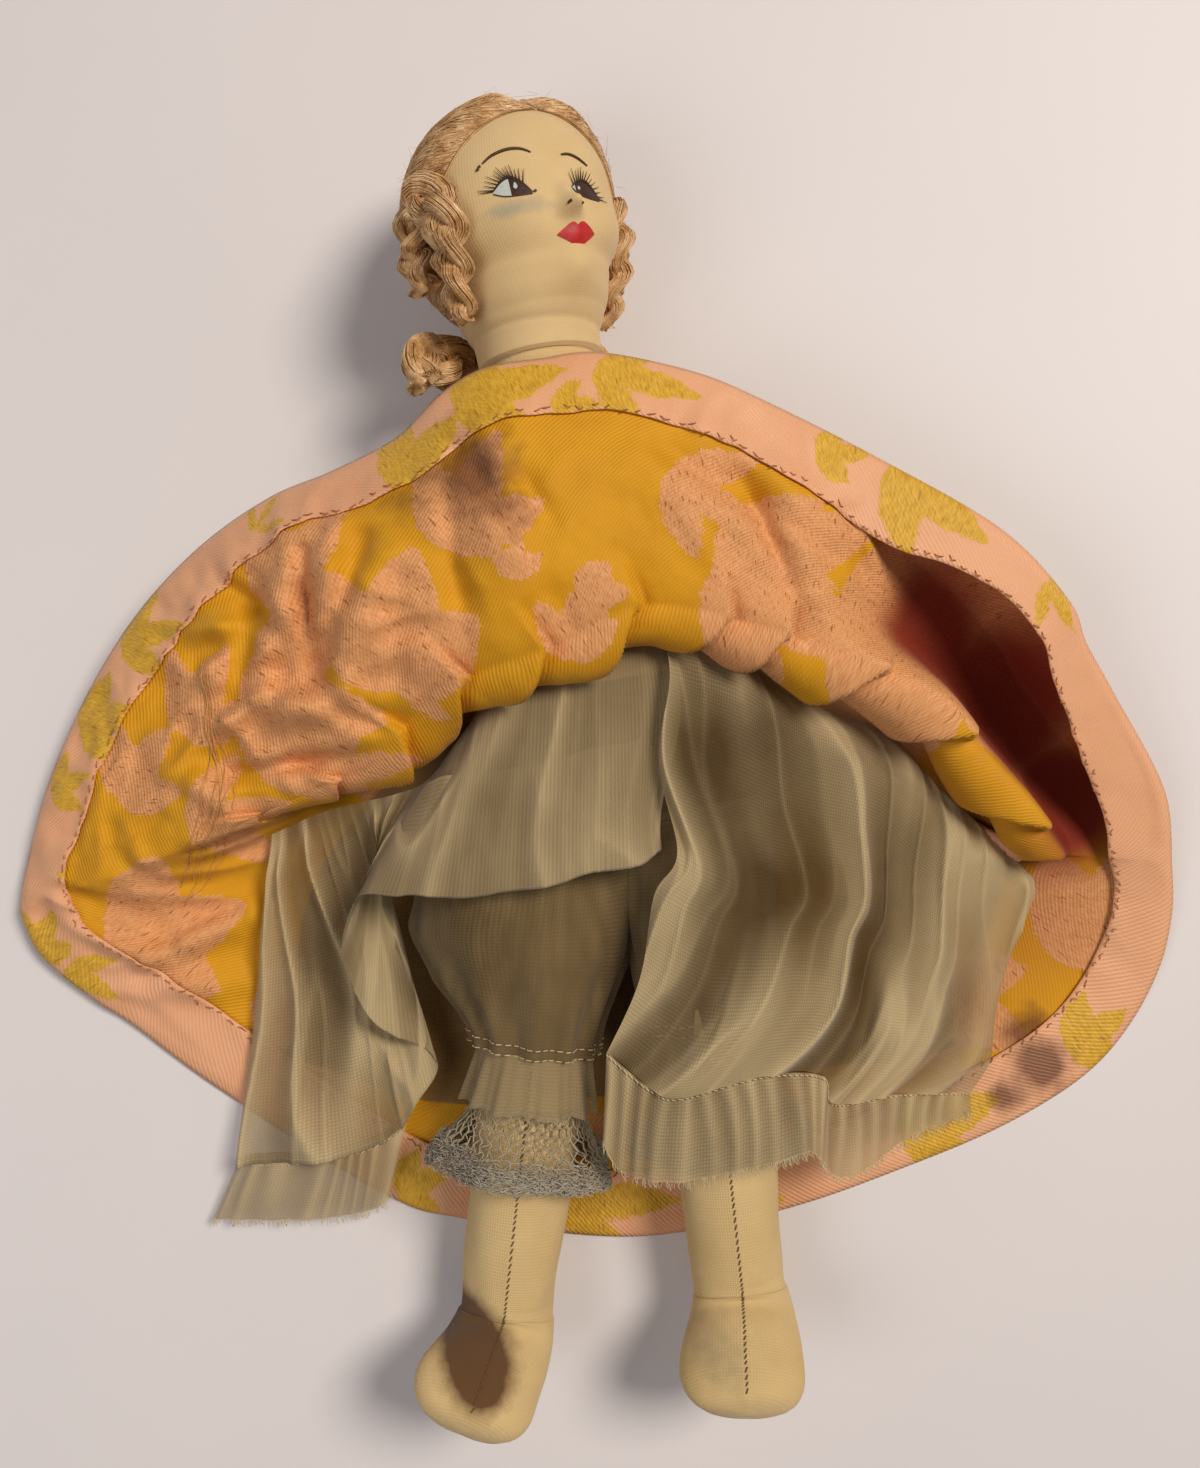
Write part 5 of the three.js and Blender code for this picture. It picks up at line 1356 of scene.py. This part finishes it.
# %% Hem facing
FACING_WIDTH = 21
GOLD_LEAVES = [
    (-53, 104, 14, 8, 45), (-30, 121, 17, 8, 20), (7, 122, 16, 6, -15), (-12, 115, 8, 4, 0),
    (60, 105, 9, 5, 0), (87, 91, 18, 8, -40), (122, 63, 10, 4, -60), (-137, 58, 13, 6, 10),
    (-151, 33, 13, 7, 15), (-165, 14, 9, 5, 20), (-176, -32, 10, 6, 60), (-162, -49, 11, 5, -30),
    (-61, -110, 10, 6, 20), (0, -116, 20, 8, 0), (103, -90, 18, 9, 25), (148, -63, 12, 7, 35),
    (-169, -13, 4, 2, 110), (-100, 92, 9, 3, 60), (45, -116, 9, 4, 10),
]


def facing_point(around, inward, proud=1.1):
    hem = hem_at(around)
    reach = (skirt_point(around, 0.9) - hem).length / 0.1
    v = 1 - FACING_WIDTH * inward / max(60, reach)
    p = skirt_point(around, v)
    share = front_share(around)
    bridge = ease(-0.1, 0.02, share) * (1 - ease(0.3, 0.4, share))
    level = hem.z + 2.5 * inward
    p.z = max(p.z, mix(p.z, level, bridge * ease(0, 0.25, inward))) + proud * ease(0, 0.15, inward) + 0.15
    p.z += 0.5 * hills(p.x / 9, p.y / 9, 3) * inward
    return p


bm = bent_grid(SKIRT_AROUND * 2, 14, facing_point, (SKIRT_FLAT[0], FACING_WIDTH), closed=True)
turn_up(bm)
facing = finish_piece(bm, "hem_facing_band", [right_side, wrong_side], "torso")
paint(facing, "leaf", lambda x, y, z: leaf_distance(GOLD_LEAVES, x, y) - 1.2)
paint_spots(facing, "stain_and_shade", [(1.0, 130, -74, 9), (0.7, 118, -84, 6), (0.35, -44, 108, 9)])
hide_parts("hem_facing")
thicken(facing, "cloth_thickness", 0.4, back=1)
HEM_STITCHES = 240
# Half a stitch as a share of the hem's length, and where the stitches run across the band.
STITCH_STEP = 0.0011
STITCH_LINE = 0.93
stitch_rng = random.Random(3)
hem_stitches = []
for k in range(HEM_STITCHES):
    around = (k + stitch_rng.uniform(-0.2, 0.2)) / HEM_STITCHES
    step = STITCH_STEP * stitch_rng.uniform(0.7, 1.3)
    inner = STITCH_LINE + stitch_rng.uniform(-0.04, 0.04)
    ends = [facing_point(around % 1, inner, 1.3), facing_point((around + step) % 1, inner + 0.03, 1.75),
            facing_point((around + 2 * step) % 1, inner + stitch_rng.uniform(-0.05, 0.08), 1.2)]
    hem_stitches.append(ends)
rust_thread = thread_material("Rust_sewing_thread", "#c07a48", "#96552c")
strands("hem_stitches", hem_stitches, 0.17, rust_thread, "torso")
print("hem facing", len(facing.data.polygons), "faces,", len(hem_stitches), "stitches")

# %% [markdown]
# ## Loose threads
# The brocade frays, and a few pale threads lie loose on it at the doll's right. Each wanders down over the
# cloth, so its height is looked up on the skirt.

# %% Loose threads on the brocade
THREAD_RUN = spaced([(-119, 50), (-117, 34), (-115, 14), (-119, 2), (-127, -12), (-136, -24)])
corners = [v.co / MM for v in skirt.data.vertices]
cloth_tree = BVHTree.FromPolygons(corners, [f.vertices for f in skirt.data.polygons])
LOOSE_THREADS = 9
THREAD_STEPS = 40
thread_rng = random.Random(12)
loose = []
for k in range(LOOSE_THREADS):
    begin, end = thread_rng.uniform(0, 0.5), thread_rng.uniform(0.65, 1)
    aside = thread_rng.uniform(-7, 7)
    line = []
    for i in range(THREAD_STEPS):
        at = mix(begin, end, i / (THREAD_STEPS - 1))
        x, y = keyed(THREAD_RUN, at)
        sway = Vector((at * 3.2, k * 1.7, 2.0))
        x += aside * at + 5 * noise.noise(sway)
        y += 4 * noise.noise(sway + Vector((9, 0, 0)))
        hit = cloth_tree.ray_cast(Vector((x, y, 200)), Vector((0, 0, -1)))[0]
        line.append(Vector((x, y, hit.z + 0.5 + 0.4 * sin(i * 0.7 + k))))
    loose.append(line)
pale_thread = thread_material("Frayed_weft_thread", "#e2b06a", "#b87f3c")
strands("loose_threads", loose, 0.13, pale_thread, "torso")
print(len(loose), "loose threads")

# %% [markdown]
# ## Bodice
# Above the waist the dress is a plain sleeveless bodice of the same brocade, right side out. The turned-up
# skirt hides it, so it is a close tube with two armholes and no trimming.

# %% Bodice
BODICE_LEAVES = [(-14, 80, 14, 7, 40), (-30, 104, 12, 6, 70), (2, 100, 9, 5, 0)]
ARMHOLE = Vector((33, 112, 29))
ARMHOLE_RADIUS = 14
# Shares of the trunk's length where the bodice starts and ends.
BODICE_SHARES = (0.445, 0.9)


def in_armhole(centre):
    flat = BODY.inverted() @ centre
    return (Vector((abs(flat.x), flat.y, flat.z)) - ARMHOLE).length < ARMHOLE_RADIUS


bm = round_grid(56, 36, lambda a, v: torso_point(a, mix(*BODICE_SHARES, v), 1.4), (205, 62))
armholes = [f for f in bm.faces if in_armhole(f.calc_center_median())]
bmesh.ops.delete(bm, geom=armholes, context="FACES")
bodice = finish_piece(bm, "brocade_bodice", [right_side], "torso")
paint(bodice, "leaf", lambda x, y, z: leaf_distance(BODICE_LEAVES, x, y))
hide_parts("bodice")
print("bodice", len(bodice.data.polygons), "faces")

# %% [markdown]
# ## Muslin
# Petticoat, bloomers and frills are one olive-beige muslin, so thin and open that the leg shows through.
# The weave is drawn about 1 mm apart. Between the threads the cloth is clear, so two layers look denser than
# one, as on the doll. Folds are paler on their crests, where two layers lie and the light grazes them, which
# is partly the doubled cloth and partly painted light. They are darker in their hollows, which is painted
# shade. A painted attribute carries that, and it also makes the crests denser.

# %% Muslin material
def muslin_material(name, pale, deep, cover):
    finish, tree, shader, where = start_material(name)
    weave = woven_height(tree, where["UV"], 1.0)
    fold = painted(tree, "fold")
    cloud = noisy(tree, where["Object"], 60.0, 4.0)
    tone = blended(tree, scaled_sum(tree, cloud, 0.35, fold, clamp=True), deep, pale)
    threads = blended(tree, weave, (0.8, 0.78, 0.74, 1), (1.04, 1.04, 1.04, 1))
    opening = ranged(tree, weave, 0.1, 0.5, cover - 0.12, cover + 0.06)
    dense = scaled_sum(tree, fold, 0.38, opening, clamp=True)
    tree.links.new(dense, shader.inputs["Alpha"])
    bumped(tree, shader, weave, 0.15, 0.3)
    levels = {"Roughness": 0.9, "Sheen Weight": 0.2, "Specular IOR Level": 0.2}
    surface(tree, shader, blended(tree, 0.45, tone, threads, "MULTIPLY"), levels)
    return finish


# Its deep colour is painted shade, for the hollows of the folds and for cloth that lies under other cloth.
muslin = muslin_material("Cotton_muslin", "#c4ad82", "#5d4624", 0.6)
# The bloomers are sewn double, so they are denser. They lie in the shade of the petticoat, and their darker
# colours are painted shade.
shaded_doubled_muslin = muslin_material("Cotton_muslin_doubled_shaded", "#a58c61", "#55401f", 0.82)
muslin_stitch = thread_material("White_sewing_thread", "#dcc9a0", "#b59f74")
print("muslin ready")

# %% [markdown]
# ## Bloomers
# The bloomers are wide muslin drawers gathered into a cuff above each knee, with a frill below the cuff.
# The seat is a tube round the hips. Each leg is a puffed tube that is widest just below the hip and hangs out
# to the side, and its gathers deepen towards the cuff. The frills follow the legs.

# %% Bloomers, frills and their stitches
BLOOMER_TOP, BLOOMER_CUFF = 4, -60
FRILL_LENGTH = 16.5
GATHERS = 13
BLOOMER_BACK = 17.5
SEAT_SHARES = (0.02, 0.33)
CUFF_ROWS = (0.955, 1.0)
CUFF_STITCHES = 56
# Where a stitch starts, rises and ends, as shares of the way to the next stitch.
STITCH_STEPS = (0.1, 0.4, 0.7)
# Share of the length, inner half width, outer half width and half depth.
BLOOMER_PUFF = {
    "right": [(0, 19, 26, 8), (0.12, 27, 40, 18.5), (0.3, 27, 42, 19.5), (0.5, 25, 40, 19),
              (0.75, 20, 30, 17.8), (0.92, 17.5, 20, 16.4), (1, 17, 18, 15.6)],
    "left": [(0, 24, 20, 8), (0.12, 24, 22, 18.5), (0.3, 24, 23, 19.5), (0.5, 22, 22, 19),
             (0.75, 19.5, 19, 17.8), (0.92, 17.6, 17.6, 16.4), (1, 17, 17, 15.6)],
}


# The two half widths differ, because the right leg of the bloomers spreads outwards.
def bloomer_point(side, around, share, proud=0.0):
    inner, outer, front = keyed(BLOOMER_PUFF[side], share)
    across = cos(around)
    width = outer if across * LEGS[side]["sign"] > 0 else inner
    ripple = 0.5 + 0.5 * sin(GATHERS * around + 0.8 * sin(2 * around))
    gather = ripple * (0.7 + 1.9 * ease(0.35, 0.95, share))
    soft = 1.6 * hills(cos(around) * 1.3, share * 2.2, sin(around) * 1.3 + len(side))
    swell = gather + soft * ease(0.02, 0.25, share) + proud
    depth = front if sin(around) > 0 else min(front, BLOOMER_BACK)
    out = abs(across) * (outer if width == outer else 0) / 44
    sag = -7 * ease(0.55, 1, out) * (1 - ease(0.6, 0.95, share))
    y = mix(BLOOMER_TOP, BLOOMER_CUFF, share)
    return hung(Vector((across * (width + swell), y, sin(around) * (depth + swell) + sag)), LEGS[side])


def frill_point(side, around, share):
    flare = 17 + 3.2 * share ** 1.2
    wave = 1.0 * share ** 0.7 * sin(11 * around + 1.3 * sin(3 * around + len(side)))
    wave += 0.3 * share ** 0.5 * sin(29 * around)
    y = BLOOMER_CUFF - FRILL_LENGTH * share - 0.4 * wave * share
    p = Vector((cos(around) * (flare + wave), y, sin(around) * (flare - 0.8 + wave)))
    return hung(p, LEGS[side])


def seat_point(u, v):
    return torso_point(u * 2 * pi, mix(*SEAT_SHARES, v), 1.6 + 0.5 * sin(u * 150))


# The seat has no fold tone, so it takes the deep colour, painted shade.
bm = bent_grid(64, 30, seat_point, (240, 46), closed=True)
seat = finish_piece(bm, "bloomer_seat", [shaded_doubled_muslin], "torso")
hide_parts("bloomers")
for side, leg in LEGS.items():
    bm = round_grid(132, 48, lambda a, v: bloomer_point(side, a, v), (165, 60))
    tube = finish_piece(bm, side + "_bloomer_leg", [shaded_doubled_muslin], None)
    # The tone of the leg tubes is low and varies at random, so they stay near their deep colour, painted
    # shade.
    paint(tube, "fold", lambda x, y, z: 0.05 + 0.25 * abs(hills(x / 5, y / 16, z / 9)))
    hung(Vector((0, 0, 0)), leg) * MM
    hung(Vector((0, -34, 0)), leg) * MM
    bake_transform(tube)
    bm = round_grid(220, 16, lambda a, v: frill_point(side, a, v), (190, FRILL_LENGTH))
    frill = finish_piece(bm, side + "_frill", [muslin], side + "_leg")
    paint(frill, "fold", lambda x, y, z: 0.35)
    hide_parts(side + "_bloomer_frill")
    cuff = []
    for row in CUFF_ROWS:
        for k in range(CUFF_STITCHES):
            turns = [(k + d) / CUFF_STITCHES for d in STITCH_STEPS]
            cuff.append([bloomer_point(side, turn * 2 * pi, row + 0.004 * d, 0.5)
                         for turn, d in zip(turns, STITCH_STEPS)])
    strands(side + "_cuff_stitches", cuff, 0.2, muslin_stitch, side + "_leg")
print("bloomers ready")

# %% [markdown]
# ## Knit bands
# Below each frill the leg has a knitted band of grey yarn, open like a net, with a brushed edge that has
# matted. Two sets of yarns run round the leg in opposite slants, and short fine fibres make the fluff.

# %% Knit bands
grey_yarn = thread_material("Grey_wool_yarn", "#c0b296", "#85765c", 0.9)
grey_fluff = thread_material("Grey_wool_fluff", "#c9bfac", "#948975", 0.95)
BAND_TOP, BAND_BOTTOM = -75, -94
BAND_RADIUS = 16.2
BAND_FLOOR = 1.2
YARNS = 38
YARN_STEPS = 14
FLUFF_FIBRES = 1100


def band_point(side, around, share, proud=0.0):
    loose = 5.0 * ease(0.2, 1, share) * (1 + 0.3 * sin(5 * around + len(side)))
    r = BAND_RADIUS + loose + proud
    squeeze = 0.93 if sin(around) < 0 else 1.0
    y = mix(BAND_TOP, BAND_BOTTOM, share)
    p = hung(Vector((cos(around) * (r + 3.5 * share), y, sin(around) * r * squeeze)), LEGS[side])
    p.z = max(p.z, BAND_FLOOR)
    return p


for side in LEGS:
    band_rng = random.Random(len(side))
    yarns = []
    for slant in (-1, 1):
        for k in range(YARNS):
            yarn = []
            for i in range(YARN_STEPS + 1):
                around = 2 * pi * k / YARNS + slant * 0.75 * i / YARN_STEPS + 0.05 * sin(i * 2.6 + k)
                yarn.append(band_point(side, around, i / YARN_STEPS, 0.3 * slant * sin(i * 1.57)))
            yarns.append(yarn)
    band = strands(side + "_knit_yarns", yarns, 0.26, grey_yarn, side + "_leg")
    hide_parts(side + "_knit_band")
    fluff = []
    for k in range(FLUFF_FIBRES):
        around = band_rng.uniform(0, 2 * pi)
        low = min(1.15, max(0.5, band_rng.gauss(0.98, 0.13)))
        run = []
        for i in range(7):
            sway = band_rng.uniform(-1, 1)
            run.append(band_point(side, around + 0.05 * i + 0.05 * sway, low + 0.05 * band_rng.uniform(-1, 1),
                                  1.0 + 1.5 * band_rng.uniform(-1, 1)))
        fluff.append(run)
    strands(side + "_knit_fluff", fluff, 0.13, grey_fluff, side + "_leg")
print("knit bands ready")

# %% [markdown]
# ## Petticoat
# The petticoat is a full skirt of the same muslin. Over the doll's left leg it hangs as it should, in long
# folds that fan out from under the roll to a gathered flounce. Over the right leg it has been lifted and
# folded under, so a pale doubled flap ends in a soft edge above the bloomers, and only the outer part hangs
# down to its flounce. Each panel is a grid stretched between drawn edges, and pleats that fan out with it are
# lifted from the grid.

# %% Petticoat panels
def panel(top, bottom, near, far):
    edges = [spaced(run) for run in (top, bottom, near, far)]

    def place(u, v):
        a, b, c, d = [Vector(keyed(run, at)) for run, at in zip(edges, (u, u, v, v))]
        p00, p10, p01, p11 = Vector(top[0]), Vector(top[-1]), Vector(bottom[0]), Vector(bottom[-1])
        corners = (p00 * (1 - u) + p10 * u) * (1 - v) + (p01 * (1 - u) + p11 * u) * v
        return a * (1 - v) + b * v + c * (1 - u) + d * u - corners
    return place


BLOOMER_GIRTH = 20


# How high the cloth must lie to clear a leg in its bloomers.
def over_leg(side, x, y, clear):
    spread = radians(LEGS[side]["spread"] + TORSO_TILT)
    hip = hung(Vector((0, 0, 0)), LEGS[side])
    down = Vector((sin(spread), -cos(spread)))
    off = Vector((x - hip.x, y - hip.y))
    along = max(0, off.dot(down))
    beside = abs(off.x * down.y - off.y * down.x)
    girth = BLOOMER_GIRTH + clear
    if beside >= girth:
        return 0
    return BODY_AXIS - along * tan(radians(LEG_DROP)) + girth * sqrt(1 - (beside / girth) ** 2)


LEFT_TOP = [
    (10, 58, 47), (30, 52, 41), (49, 39, 34), (76, 29, 27), (92, 14, 23), (110, -4, 18), (119, -13, 15),
]
LEFT_SEAM = [
    (-5, -60, 43), (8, -70, 45.5), (16.4, -71.4, 46.5), (37.8, -65.7, 46), (56, -68, 38), (60, -77, 33),
    (80.6, -77, 24), (105, -80, 12),
]
LEFT_NEAR = [
    (10, 58, 47), (12, 44, 51), (9, 21, 52), (14, -3.6, 50), (8, -15.5, 48), (4, -39, 44.5), (-5, -60, 43),
]
LEFT_FAR = [
    (119, -13, 15), (124, -17, 13), (118, -35, 11), (113.5, -54, 11), (111.7, -70, 11), (105, -80, 12),
]
left_place = panel(LEFT_TOP, LEFT_SEAM, LEFT_NEAR, LEFT_FAR)


# Long soft pleats run down the ribs of a panel: crests stand where a slow noise changes sign, so they vary
# in spacing and strength, fork and fade, as cloth does.
def pleat(u, v, count, seed):
    warp = 0.7 * hills(u * 2.4, v * 1.8, seed)
    slow = hills(u * count + warp, v * 0.9, seed + 5)
    small = hills(u * count * 2.3 + warp, v * 1.3, seed + 8)
    crest = max(0, 1 - 1.9 * abs(slow)) ** 2
    minor = max(0, 1 - 2.6 * abs(small)) ** 2
    return 0.8 * crest + 0.2 * minor


# Each panel gives a place and the tone of its fold there: pale on a crest, which is partly doubled cloth and
# partly painted light, and deep in a hollow, which is painted shade.
def panel_piece(name, across, along, place, size):
    tones = []

    def put(u, v):
        p, tone = place(u, v)
        tones.append(tone)
        return p
    piece = finish_piece(bent_grid(across, along, put, size), name, [muslin], "torso")
    piece.data.attributes.new("fold", "FLOAT", "POINT").data.foreach_set("value", tones)
    return piece


# The folds over the left leg bow outwards. Between them lie hollows of painted shade, where the cloth is also
# thinner, so the brocade shows through.
LEFT_BOW = 0.1
PANEL_FLOOR = {"left": 3.5, "right": 5.5}
LEFT_HOLLOWS = [(0.4, 50, -20, 20), (0.35, 23, 26, 15), (0.25, 84, -48, 18)]


def left_panel(u, v):
    p = left_place(u, v)
    folded = pleat(u - LEFT_BOW * sin(pi * v), v, 5.5, 3.0)
    sunk = sum(deep * spot(p.x, p.y, *where) for deep, *where in LEFT_HOLLOWS)
    lift = (9 * folded - 2.5) * ease(0, 0.16, v) * (1 - 0.45 * ease(0.8, 1, v))
    rest = over_leg("left", p.x, p.y, 1.5)
    p.z = max(p.z + lift, rest + 0.5 * max(0, lift), PANEL_FLOOR["left"])
    return p, min(1, folded) * ease(-0.1, 0.1, v) - sunk * (1 - folded)


RIGHT_TOP = [
    (10, 58, 47), (-10, 51, 47), (-35, 41, 43), (-46, 28, 37), (-57, 15, 27), (-66, 11, 23), (-76, 8.5, 20),
    (-90, 5, 16), (-106, -2, 12),
]
# Shares of the panel's width where those points stand.
RIGHT_TOP_SHARES = [0, 0.12, 0.26, 0.34, 0.42, 0.5, 0.64, 0.8, 1]
RIGHT_HEM = [
    (14, -3.6, 50), (-6.6, -10, 51), (-39, -15.7, 49), (-62, -17, 45), (-75, -17, 38), (-82, -38, 24),
    (-73, -57, 17), (-56, -70, 11), (-62, -83, 8), (-69, -94, 7), (-78, -98, 8), (-97, -102, 8),
    (-118, -103, 6),
]
RIGHT_HEM_SHARES = [0, 0.1, 0.26, 0.37, 0.43, 0.51, 0.58, 0.66, 0.72, 0.78, 0.83, 0.91, 1]
right_top = [(s, *p) for s, p in zip(RIGHT_TOP_SHARES, RIGHT_TOP)]
right_hem = [(s, *p) for s, p in zip(RIGHT_HEM_SHARES, RIGHT_HEM)]
FLAP_END = 0.43
# Past this share of its length the cloth of the flap turns under.
TURN_UNDER = 0.8


def right_panel(u, v):
    top, hem = Vector(keyed(right_top, u)), Vector(keyed(right_hem, u))
    flap = 1 - ease(FLAP_END - 0.03, FLAP_END + 0.05, u)
    t = min(1, v / TURN_UNDER)
    if v > TURN_UNDER:
        under = (v - TURN_UNDER) / (1 - TURN_UNDER)
        back = (top - hem).to_2d().normalized() * (mix(3, 34, flap) * under)
        p = hem + Vector((back.x, back.y, -0.9 - 2.4 * under * flap))
    else:
        p = top.lerp(hem, t)
        p.z += (3 * flap - 4 * (1 - flap) * ease(0.5, 0.7, u)) * sin(pi * t)
    folded = pleat(u, t, 11, 7.4)
    border = 1 - ease(0, 0.07, u)
    p.x += border * 4 * sin(5 * t)
    p.z -= border ** 2 * 3.5
    p.y += flap * 1.8 * hills(u * 13, 0, 4) * ease(0.4, 1, t)
    lift = folded * mix(7, 2.6, flap) * ease(0, 0.15, t) * (1 - ease(TURN_UNDER, 1, v) * flap)
    rest = over_leg("right", p.x, p.y, 2.5) * flap
    p.z = max(p.z + lift, rest + 0.5 * lift, PANEL_FLOOR["right"])
    return p, min(1, mix(0.15 + folded, 0.3 + 0.5 * folded, flap))


panel_left = panel_piece("petticoat_left_panel", 190, 110, left_panel, (190, 125))
# The tip of the flap lies over the left leg, and it is a piece of its own.
FLAP_TIP = 0.09
TIP_LAP = 0.003
panel_right = panel_piece("petticoat_right_panel", 200, 100,
                          lambda u, v: right_panel(mix(FLAP_TIP, 1, u), v), (178, 130))
panel_tip = panel_piece("petticoat_flap_tip", 24, 100,
                        lambda u, v: right_panel(mix(0, FLAP_TIP + TIP_LAP, u), v), (22, 130))
BACK_TOP = [(-52, 30, 6), (-12, 44, 5), (44, 38, 6)]
BACK_HEM_LINE = [(-104, -70, 3), (-60, -85, 2.4), (-20, -86, 2.4), (40, -80, 2.6), (103, -68, 3)]
BACK_NEAR = [(-52, 30, 6), (-90, -8, 4.6), (-104, -70, 3)]
BACK_FAR = [(44, 38, 6), (96, -8, 4.6), (103, -68, 3)]
back_place = panel(BACK_TOP, BACK_HEM_LINE, BACK_NEAR, BACK_FAR)


def back_point(u, v):
    p = back_place(u, v)
    p.y += 3.5 * v * v * hills(u * 7, 0, 2)
    p.x += 5 * v * (2 * u - 1) * hills(v * 4, u, 6)
    p.z += 0.3 * sin(u * 60) * v
    return p


bm = bent_grid(60, 40, back_point, (170, 120))
panel_back = finish_piece(bm, "petticoat_back", [muslin], "torso")
# The back of the petticoat lies under the doll, so its tone stays low, near the deep colour of painted shade,
# and varies at random.
paint(panel_back, "fold", lambda x, y, z: 0.12 + 0.2 * hills(x / 8, y / 40, 0))
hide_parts("petticoat")
print("petticoat panels ready")

# %% [markdown]
# ## Flounces
# A gathered strip is sewn along the lower edge of each hanging part of the petticoat. The gathers are small
# waves that rise below the seam and soften towards the free edge, which frays. A row of pale stitches holds
# the strip.

# %% Flounces
LEFT_FLOUNCE = [
    (-6, -85, 41), (0, -94, 43), (16.4, -95, 46), (43, -90, 45), (53, -89, 40), (60, -98, 31),
    (69, -99, 26), (86, -90, 20), (106, -87, 10),
]
FLOUNCE_FLOOR = 2.4
FLOUNCE_LENGTH = {"left": 150, "right": 55}
FLOUNCE_DEPTH = 24
RIGHT_FLOUNCE_SEAM = [(-66, -91, 7), (-78, -98, 8), (-97, -102, 8), (-118, -103, 6)]
RIGHT_FLOUNCE = [(-71, -112, 4), (-77, -118, 4.5), (-98, -121, 4.5), (-126, -121, 4)]


def flounce(seam, free, waves):
    seam_run, free_run = spaced(seam), spaced(free)

    def place(u, v):
        a, b = Vector(keyed(seam_run, u)), Vector(keyed(free_run, u))
        p = a.lerp(b, v)
        drift = 1.1 * hills(u * waves / 3, 0.5 * v, waves)
        gather = sin(2 * pi * (waves * u + drift)) * (1.1 - 0.6 * v)
        billow = 1.6 * hills(u * waves / 2, 0.4 * v, 3)
        p.z += 0.6 + (0.9 * gather + billow) * v ** 0.4
        p.x += 0.8 * v * hills(u * waves, 2, waves)
        p.z = max(p.z, FLOUNCE_FLOOR)
        # Crests of the gathers get a paler tone, painted light, and troughs a darker one, painted shade.
        return p, 0.52 + 0.16 * gather + 0.25 * billow
    return place


for side, seam, free, waves, hip in (("left", LEFT_SEAM, LEFT_FLOUNCE, 21, "left_hip"),
                                     ("right", RIGHT_FLOUNCE_SEAM, RIGHT_FLOUNCE, 9, "right_hip")):
    place = flounce(seam, free, waves)
    long = FLOUNCE_LENGTH[side]
    piece = panel_piece(side + "_flounce", long * 2, 18, place, (long * 1.1, FLOUNCE_DEPTH))
    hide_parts(side + "_petticoat_ruffle")
    count = long // 2
    rows = [[place((k + d) / count, 0.02 + 0.02 * d)[0] + Vector((0, 0, 0.5)) for d in STITCH_STEPS]
            for k in range(count)]
    sewn = strands(side + "_flounce_stitches", rows, 0.2, muslin_stitch, "torso")
    fray_rng = random.Random(long)
    frayed = []
    for k in range(long * 2):
        tip = place(fray_rng.random(), 1)[0]
        hang = Vector((fray_rng.uniform(-1, 1), -fray_rng.uniform(0.8, 2.4), fray_rng.uniform(-0.3, 0.5)))
        frayed.append([tip + Vector((0, 0.4, 0)), tip + hang * 0.5, tip + hang + Vector((0.4, 0, 0))])
    fray = strands(side + "_flounce_fray", frayed, 0.09, muslin_stitch, "torso")
    for cloth in (piece, sewn, fray):
        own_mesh(cloth)
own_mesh(panel_left)
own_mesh(panel_tip)
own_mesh(panel_right)
print("flounces ready")
